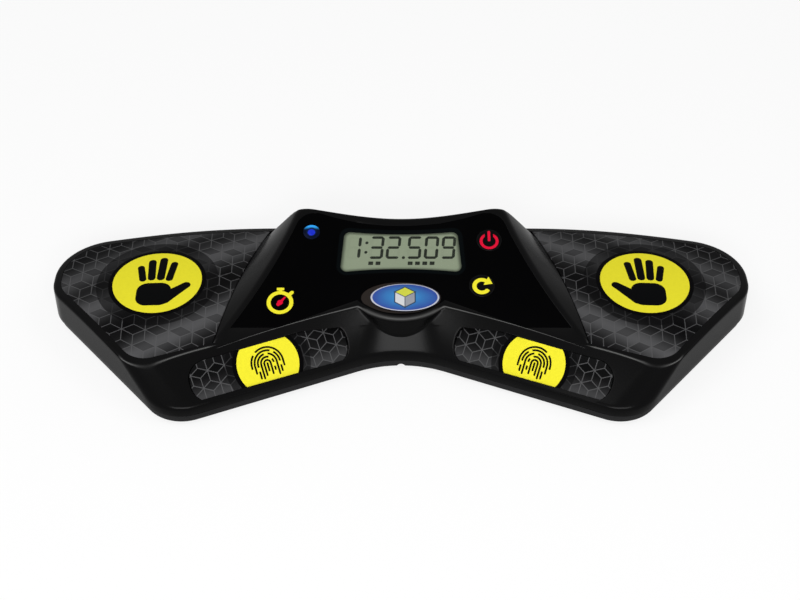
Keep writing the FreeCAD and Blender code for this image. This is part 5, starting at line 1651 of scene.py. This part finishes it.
# ------------------------------------------------------------------ base and underside
def base_corners():
    """Outline of the base: the skirt's, inset by its own amount behind, at the sides and in front."""
    corners = skirt_corners(0)
    behind, beside, front = BASE_INSETS
    return inset(corners, [behind, beside, beside, beside, front, front, beside, beside, beside, behind])


def base_band():
    """Base wall with a rounded chamfer, as a profile carried round each side of the outline.

    Near the middle of the front every row is lifted to a round arch, which makes the notch. The
    band leaves the door's opening behind to the base moulding itself.
    """
    loop = left_half(rounded_loop(base_corners()))
    back = loop[:, 1] > 20
    start = (-DOOR_JAMB, np.interp(DOOR_JAMB, -loop[back, 0], loop[back, 1]))
    loop = np.concatenate([[start], loop[~(back & (loop[:, 0] > -DOOR_JAMB - 0.3))]])
    across = np.linspace(-NOTCH_REACH, 0.0, 25)
    front = loop[:, 1] < 0
    middle = np.stack([across, np.interp(across, loop[front, 0], loop[front, 1])], 1)
    loop = np.concatenate([loop[~(front & (loop[:, 0] > -NOTCH_REACH - 0.2))], middle])
    inward = plan_normals(loop)
    inward[-1] = (0.0, 1.0)
    low, high, cut = FOOT_Z, SEAM_Z, BASE_CHAMFER
    rows = [on_plan(loop + inward * 2.4, low - 0.01), on_plan(loop + inward * (cut + 0.25), low - 0.01)]
    rows += bent(rows[-1], on_plan(loop + inward * cut, low),
                 on_plan(loop + inward * (cut - 0.2), low + 0.2), 2)[1:]
    rows += bent(on_plan(loop + inward * 0.25, low + cut - 0.25), on_plan(loop, low + cut),
                 on_plan(loop, low + cut + 0.35), 3)
    rows += [on_plan(loop, (low + cut + high) / 2)]
    rows += bent(on_plan(loop, high - 0.2), on_plan(loop, high), on_plan(loop + inward * 0.2, high), 3)
    rows.append(on_plan(loop + inward * 1.6, high))
    grid = np.stack(rows, 0)
    arch = NOTCH[1] - NOTCH[0] + np.sqrt(np.maximum(NOTCH[0] ** 2 - loop[:, 0] ** 2, 0))
    arch = np.where((np.abs(loop[:, 0]) < NOTCH[0]) & (loop[:, 1] < 0), FOOT_Z + arch, 0.0)
    grid[..., 2] = np.maximum(grid[..., 2], arch)
    return patch(grid, (0.0, -20.0, 3.0))


def trimmed_base():
    """Copy of the base moulding, merged, without the wall faces that the band stands for."""
    mesh = NODES["base_shell"].data.copy()
    mesh.name = "base_inside"
    work = bmesh.new()
    work.from_mesh(mesh)
    bmesh.ops.remove_doubles(work, verts=work.verts, dist=1e-6)
    work.faces.ensure_lookup_table()
    centres = np.array([face.calc_center_median() for face in work.faces]) / MM - (0.0, SHIFT_Y, 0.0)
    loop = rounded_loop(base_corners(), 32, 40)
    along = np.roll(loop, -1, 0) - loop
    away = centres[:, None, :2] - loop
    share = np.clip((away * along).sum(2) / (along ** 2).sum(1), 0, 1)
    near = np.linalg.norm(away - share[..., None] * along, axis=2).min(1)
    across, back = np.abs(centres[:, 0]), centres[:, 1] > 0
    band = (near < 0.85) & (centres[:, 2] < SEAM_Z + 0.1) & (centres[:, 2] > FOOT_Z + 0.05)
    band &= ~((across < DOOR_JAMB + 0.2) & back)
    gone = [work.faces[i] for i in np.flatnonzero(band)]
    bmesh.ops.delete(work, geom=gone, context="FACES")
    work.to_mesh(mesh)
    work.free()
    mesh.materials.clear()
    mesh.polygons.foreach_set("use_smooth", np.ones(len(mesh.polygons), bool))
    mesh.set_sharp_from_angle(angle=math.radians(25))
    return placed("base_inside", mesh)


FOOT_PROFILE = ((0.0, 0.18), (2.4, 0.18), (3.0, 0.04), (3.3, 0.0), (4.1, 0.0), (4.55, 0.1), (4.87, 0.36),
                (5.0, 0.75), (5.0, 1.6))           # radius and height


def rubber_foot(spot):
    """Round foot: flat sole with a shallow dish, rounded edge, straight side."""
    return patch(turned(FOOT_PROFILE, spot, 56), (spot[0], spot[1], 500.0))


class CUBETIMER_OT_base(bpy.types.Operator):
    """Build the base moulding's outer band, its underside and the rubber feet"""
    bl_idname = "cubetimer.base"
    bl_label = "Base"

    def execute(self, context):
        finish = moulded("matt_base", colours().base, 0.5, 1900.0, 0.00003, 0.10)
        band = base_band()
        piece = surface("base_band", [band, mirrored(band)])
        dressed(piece, finish, replaces=("base_shell",))
        dressed(trimmed_base(), finish)
        spots = [(side * x, y) for x, y in FEET for side in (1, -1)]
        names = ["foot_%d" % (i + 1) for i in range(len(spots))]
        feet = surface("rubber_feet", [rubber_foot(spot) for spot in spots])
        rubber = moulded("foot_rubber", (0.014, 0.014, 0.0145), 0.85, 1500.0, 0.00004, 0.2)
        dressed(feet, rubber, replaces=names)
        return {"FINISHED"}


class CUBETIMER_OT_fittings(bpy.types.Operator):
    """Give every node that keeps its own shape its finish"""
    bl_idname = "cubetimer.fittings"
    bl_label = "Fittings"

    def execute(self, context):
        steel = metal("zinc_screw", (0.42, 0.42, 0.40), 0.34, 900.0)
        contact = metal("nickel_contact", (0.56, 0.54, 0.49), 0.24, 700.0)
        copper = metal("copper_plate", (0.62, 0.30, 0.17), 0.30, 500.0)
        dark = moulded("dark_plastic", (0.010, 0.010, 0.0105), 0.42, 2200.0, 0.00002, 0.2)
        key = glossy("key_plastic", (0.003, 0.003, 0.0032), 0.16, 0.1)
        door = moulded("door_plastic", colours().base, 0.5, 1900.0, 0.00003, 0.10)
        white = moulded("switch_button", (0.50, 0.50, 0.47), 0.4, 1800.0, 0.00002, 0.3)
        pane, strip, board, jacket = clear_pane(), strip_finish(), board_finish(), cell_finish()
        cell = moulded("display_cell", (0.16, 0.19, 0.14), 0.25, 900.0, 0.00001, 0.3)
        lamp = moulded("lamp_epoxy", (0.35, 0.42, 0.60), 0.2, 900.0, 0.00001, 0.5)
        for finish, names in (
                (key, "power_key reset_key"), (dark, "display_frame data_socket"),
                (pane, "display_window"), (cell, "display_glass"), (lamp, "status_lamp"),
                (strip, "display_strip_front display_strip_back"), (board, "circuit_board"),
                (steel, "board_screws housing_screws"), (white, "power_plunger reset_plunger"),
                (copper, "hand_electrode_left hand_electrode_right"),
                (copper, "finger_electrode_left finger_electrode_right"),
                (door, "battery_door"), (jacket, "battery_cell_front battery_cell_back"),
                (contact, "battery_plate_front battery_plate_back battery_coil_front battery_coil_back"),
                (contact, "power_switch reset_switch")):
            for name in names.split():
                for slot in NODES[name].material_slots:
                    slot.material = finish
        return {"FINISHED"}


# ------------------------------------------------------------------ stage
ROOM_LIGHT, FLOOR_GLOW = 0.38, 0.80          # strength of the room, share of white in the floor as seen
LAMPS = (("key_lamp", (-0.50, -0.15, 1.0), 0.7, 0.7, 4.0),             # place, width, height, watts
         ("fill_lamp", (0.70, -0.15, 0.95), 0.6, 0.6, 2.4),
         ("front_lamp", (0.0, -1.0, 0.67), 0.80, 0.26, 10.0))
ELEVATION, DISTANCE = math.radians(44.0), 0.750


class CUBETIMER_OT_stage(bpy.types.Operator):
    """Set the pale floor, the soft lamps, the world and the camera"""
    bl_idname = "cubetimer.stage"
    bl_label = "Stage"

    def execute(self, context):
        scene = context.scene
        scene.view_settings.view_transform = "Standard"
        world = bpy.data.worlds.new("studio") if scene.world is None else scene.world
        scene.world = world
        world.use_nodes = True
        sky = Nodes(world.node_tree)
        sky.tree.nodes.clear()
        rays = sky.node("ShaderNodeLightPath").outputs
        seen = sky.maths("MAXIMUM", rays["Is Camera Ray"], rays["Is Transmission Ray"])
        seen = sky.maths("MAXIMUM", seen, rays["Is Glossy Ray"])
        room, white = [sky.node("ShaderNodeBackground", (1, 1, 1, 1), strength).outputs[0]
                       for strength in (ROOM_LIGHT, 1.0)]
        sky.node("ShaderNodeOutputWorld", sky.node("ShaderNodeMixShader", seen, room, white).outputs[0])

        mesh = bpy.data.meshes.new("floor")
        half = 3.0
        corners = [(-half, -half, 0), (half, -half, 0), (half, half, 0), (-half, half, 0)]
        mesh.from_pydata(corners, [], [(0, 1, 2, 3)])
        floor = placed("floor", mesh)
        work = Shading("pale_floor")
        work.set(Base_Color=(0.82, 0.82, 0.82, 1), Roughness=0.7, Specular_IOR_Level=0.1)
        glow = work.node("ShaderNodeEmission", None, 1.0).outputs[0]
        share = work.maths("MULTIPLY", work.node("ShaderNodeLightPath").outputs["Is Camera Ray"], FLOOR_GLOW)
        blend = work.node("ShaderNodeMixShader", share, work.shader.outputs[0], glow).outputs[0]
        work.feed(work.tree.nodes["Material Output"].inputs[0], blend)
        mesh.materials.append(work.material)

        for name, spot, size, height, power in LAMPS:
            data = bpy.data.lights.new(name, "AREA")
            data.shape, data.size, data.size_y, data.energy = "RECTANGLE", size, height, power
            lamp = placed(name, data)
            lamp.location = spot
            lamp.rotation_euler = (Vector((0, 0, 0.02)) - Vector(spot)).to_track_quat("-Z", "Y").to_euler()

        data = bpy.data.cameras.new("camera")
        data.lens, data.sensor_width, data.shift_x = 79.2, 36.0, -0.00125
        camera = placed("camera", data)
        target = Vector((0.0, SHIFT_Y * MM, 1.0 * MM))
        camera.location = target + Vector((0, -math.cos(ELEVATION), math.sin(ELEVATION))) * DISTANCE
        camera.rotation_euler = (target - camera.location).to_track_quat("-Z", "Y").to_euler()
        scene.camera = camera
        return {"FINISHED"}


class CUBETIMER_PT_build(bpy.types.Panel):
    """Sizes, colours and building steps of the cube timer"""
    bl_idname = "CUBETIMER_PT_build"
    bl_label = "Cube Timer"
    bl_space_type = "VIEW_3D"
    bl_region_type = "UI"
    bl_category = "Cube Timer"

    def draw(self, context):
        column = self.layout.column()
        for settings in (context.scene.cube_timer_sizes, context.scene.cube_timer_colours):
            for key in settings.__annotations__:
                column.prop(settings, key)
        for step in STEPS:
            column.operator(step.bl_idname)


STEPS = (CUBETIMER_OT_housing, CUBETIMER_OT_hand_films, CUBETIMER_OT_finger_films, CUBETIMER_OT_overlay,
         CUBETIMER_OT_keys, CUBETIMER_OT_light, CUBETIMER_OT_medallion, CUBETIMER_OT_display,
         CUBETIMER_OT_base, CUBETIMER_OT_fittings, CUBETIMER_OT_stage)
CLASSES = (CubeTimerSizes, CubeTimerColours, *STEPS, CUBETIMER_PT_build)


def register():
    for each in CLASSES:
        bpy.utils.register_class(each)
    bpy.types.Scene.cube_timer_sizes = bpy.props.PointerProperty(type=CubeTimerSizes)
    bpy.types.Scene.cube_timer_colours = bpy.props.PointerProperty(type=CubeTimerColours)


def unregister():
    del bpy.types.Scene.cube_timer_colours
    del bpy.types.Scene.cube_timer_sizes
    for each in reversed(CLASSES):
        bpy.utils.unregister_class(each)


def main():
    register()
    bpy.ops.cubetimer.housing()
    bpy.ops.cubetimer.hand_films()
    bpy.ops.cubetimer.finger_films()
    bpy.ops.cubetimer.overlay()
    bpy.ops.cubetimer.keys()
    bpy.ops.cubetimer.light()
    bpy.ops.cubetimer.medallion()
    bpy.ops.cubetimer.display()
    bpy.ops.cubetimer.base()
    bpy.ops.cubetimer.fittings()
    bpy.ops.cubetimer.stage()


if __name__ == "__main__":
    main()
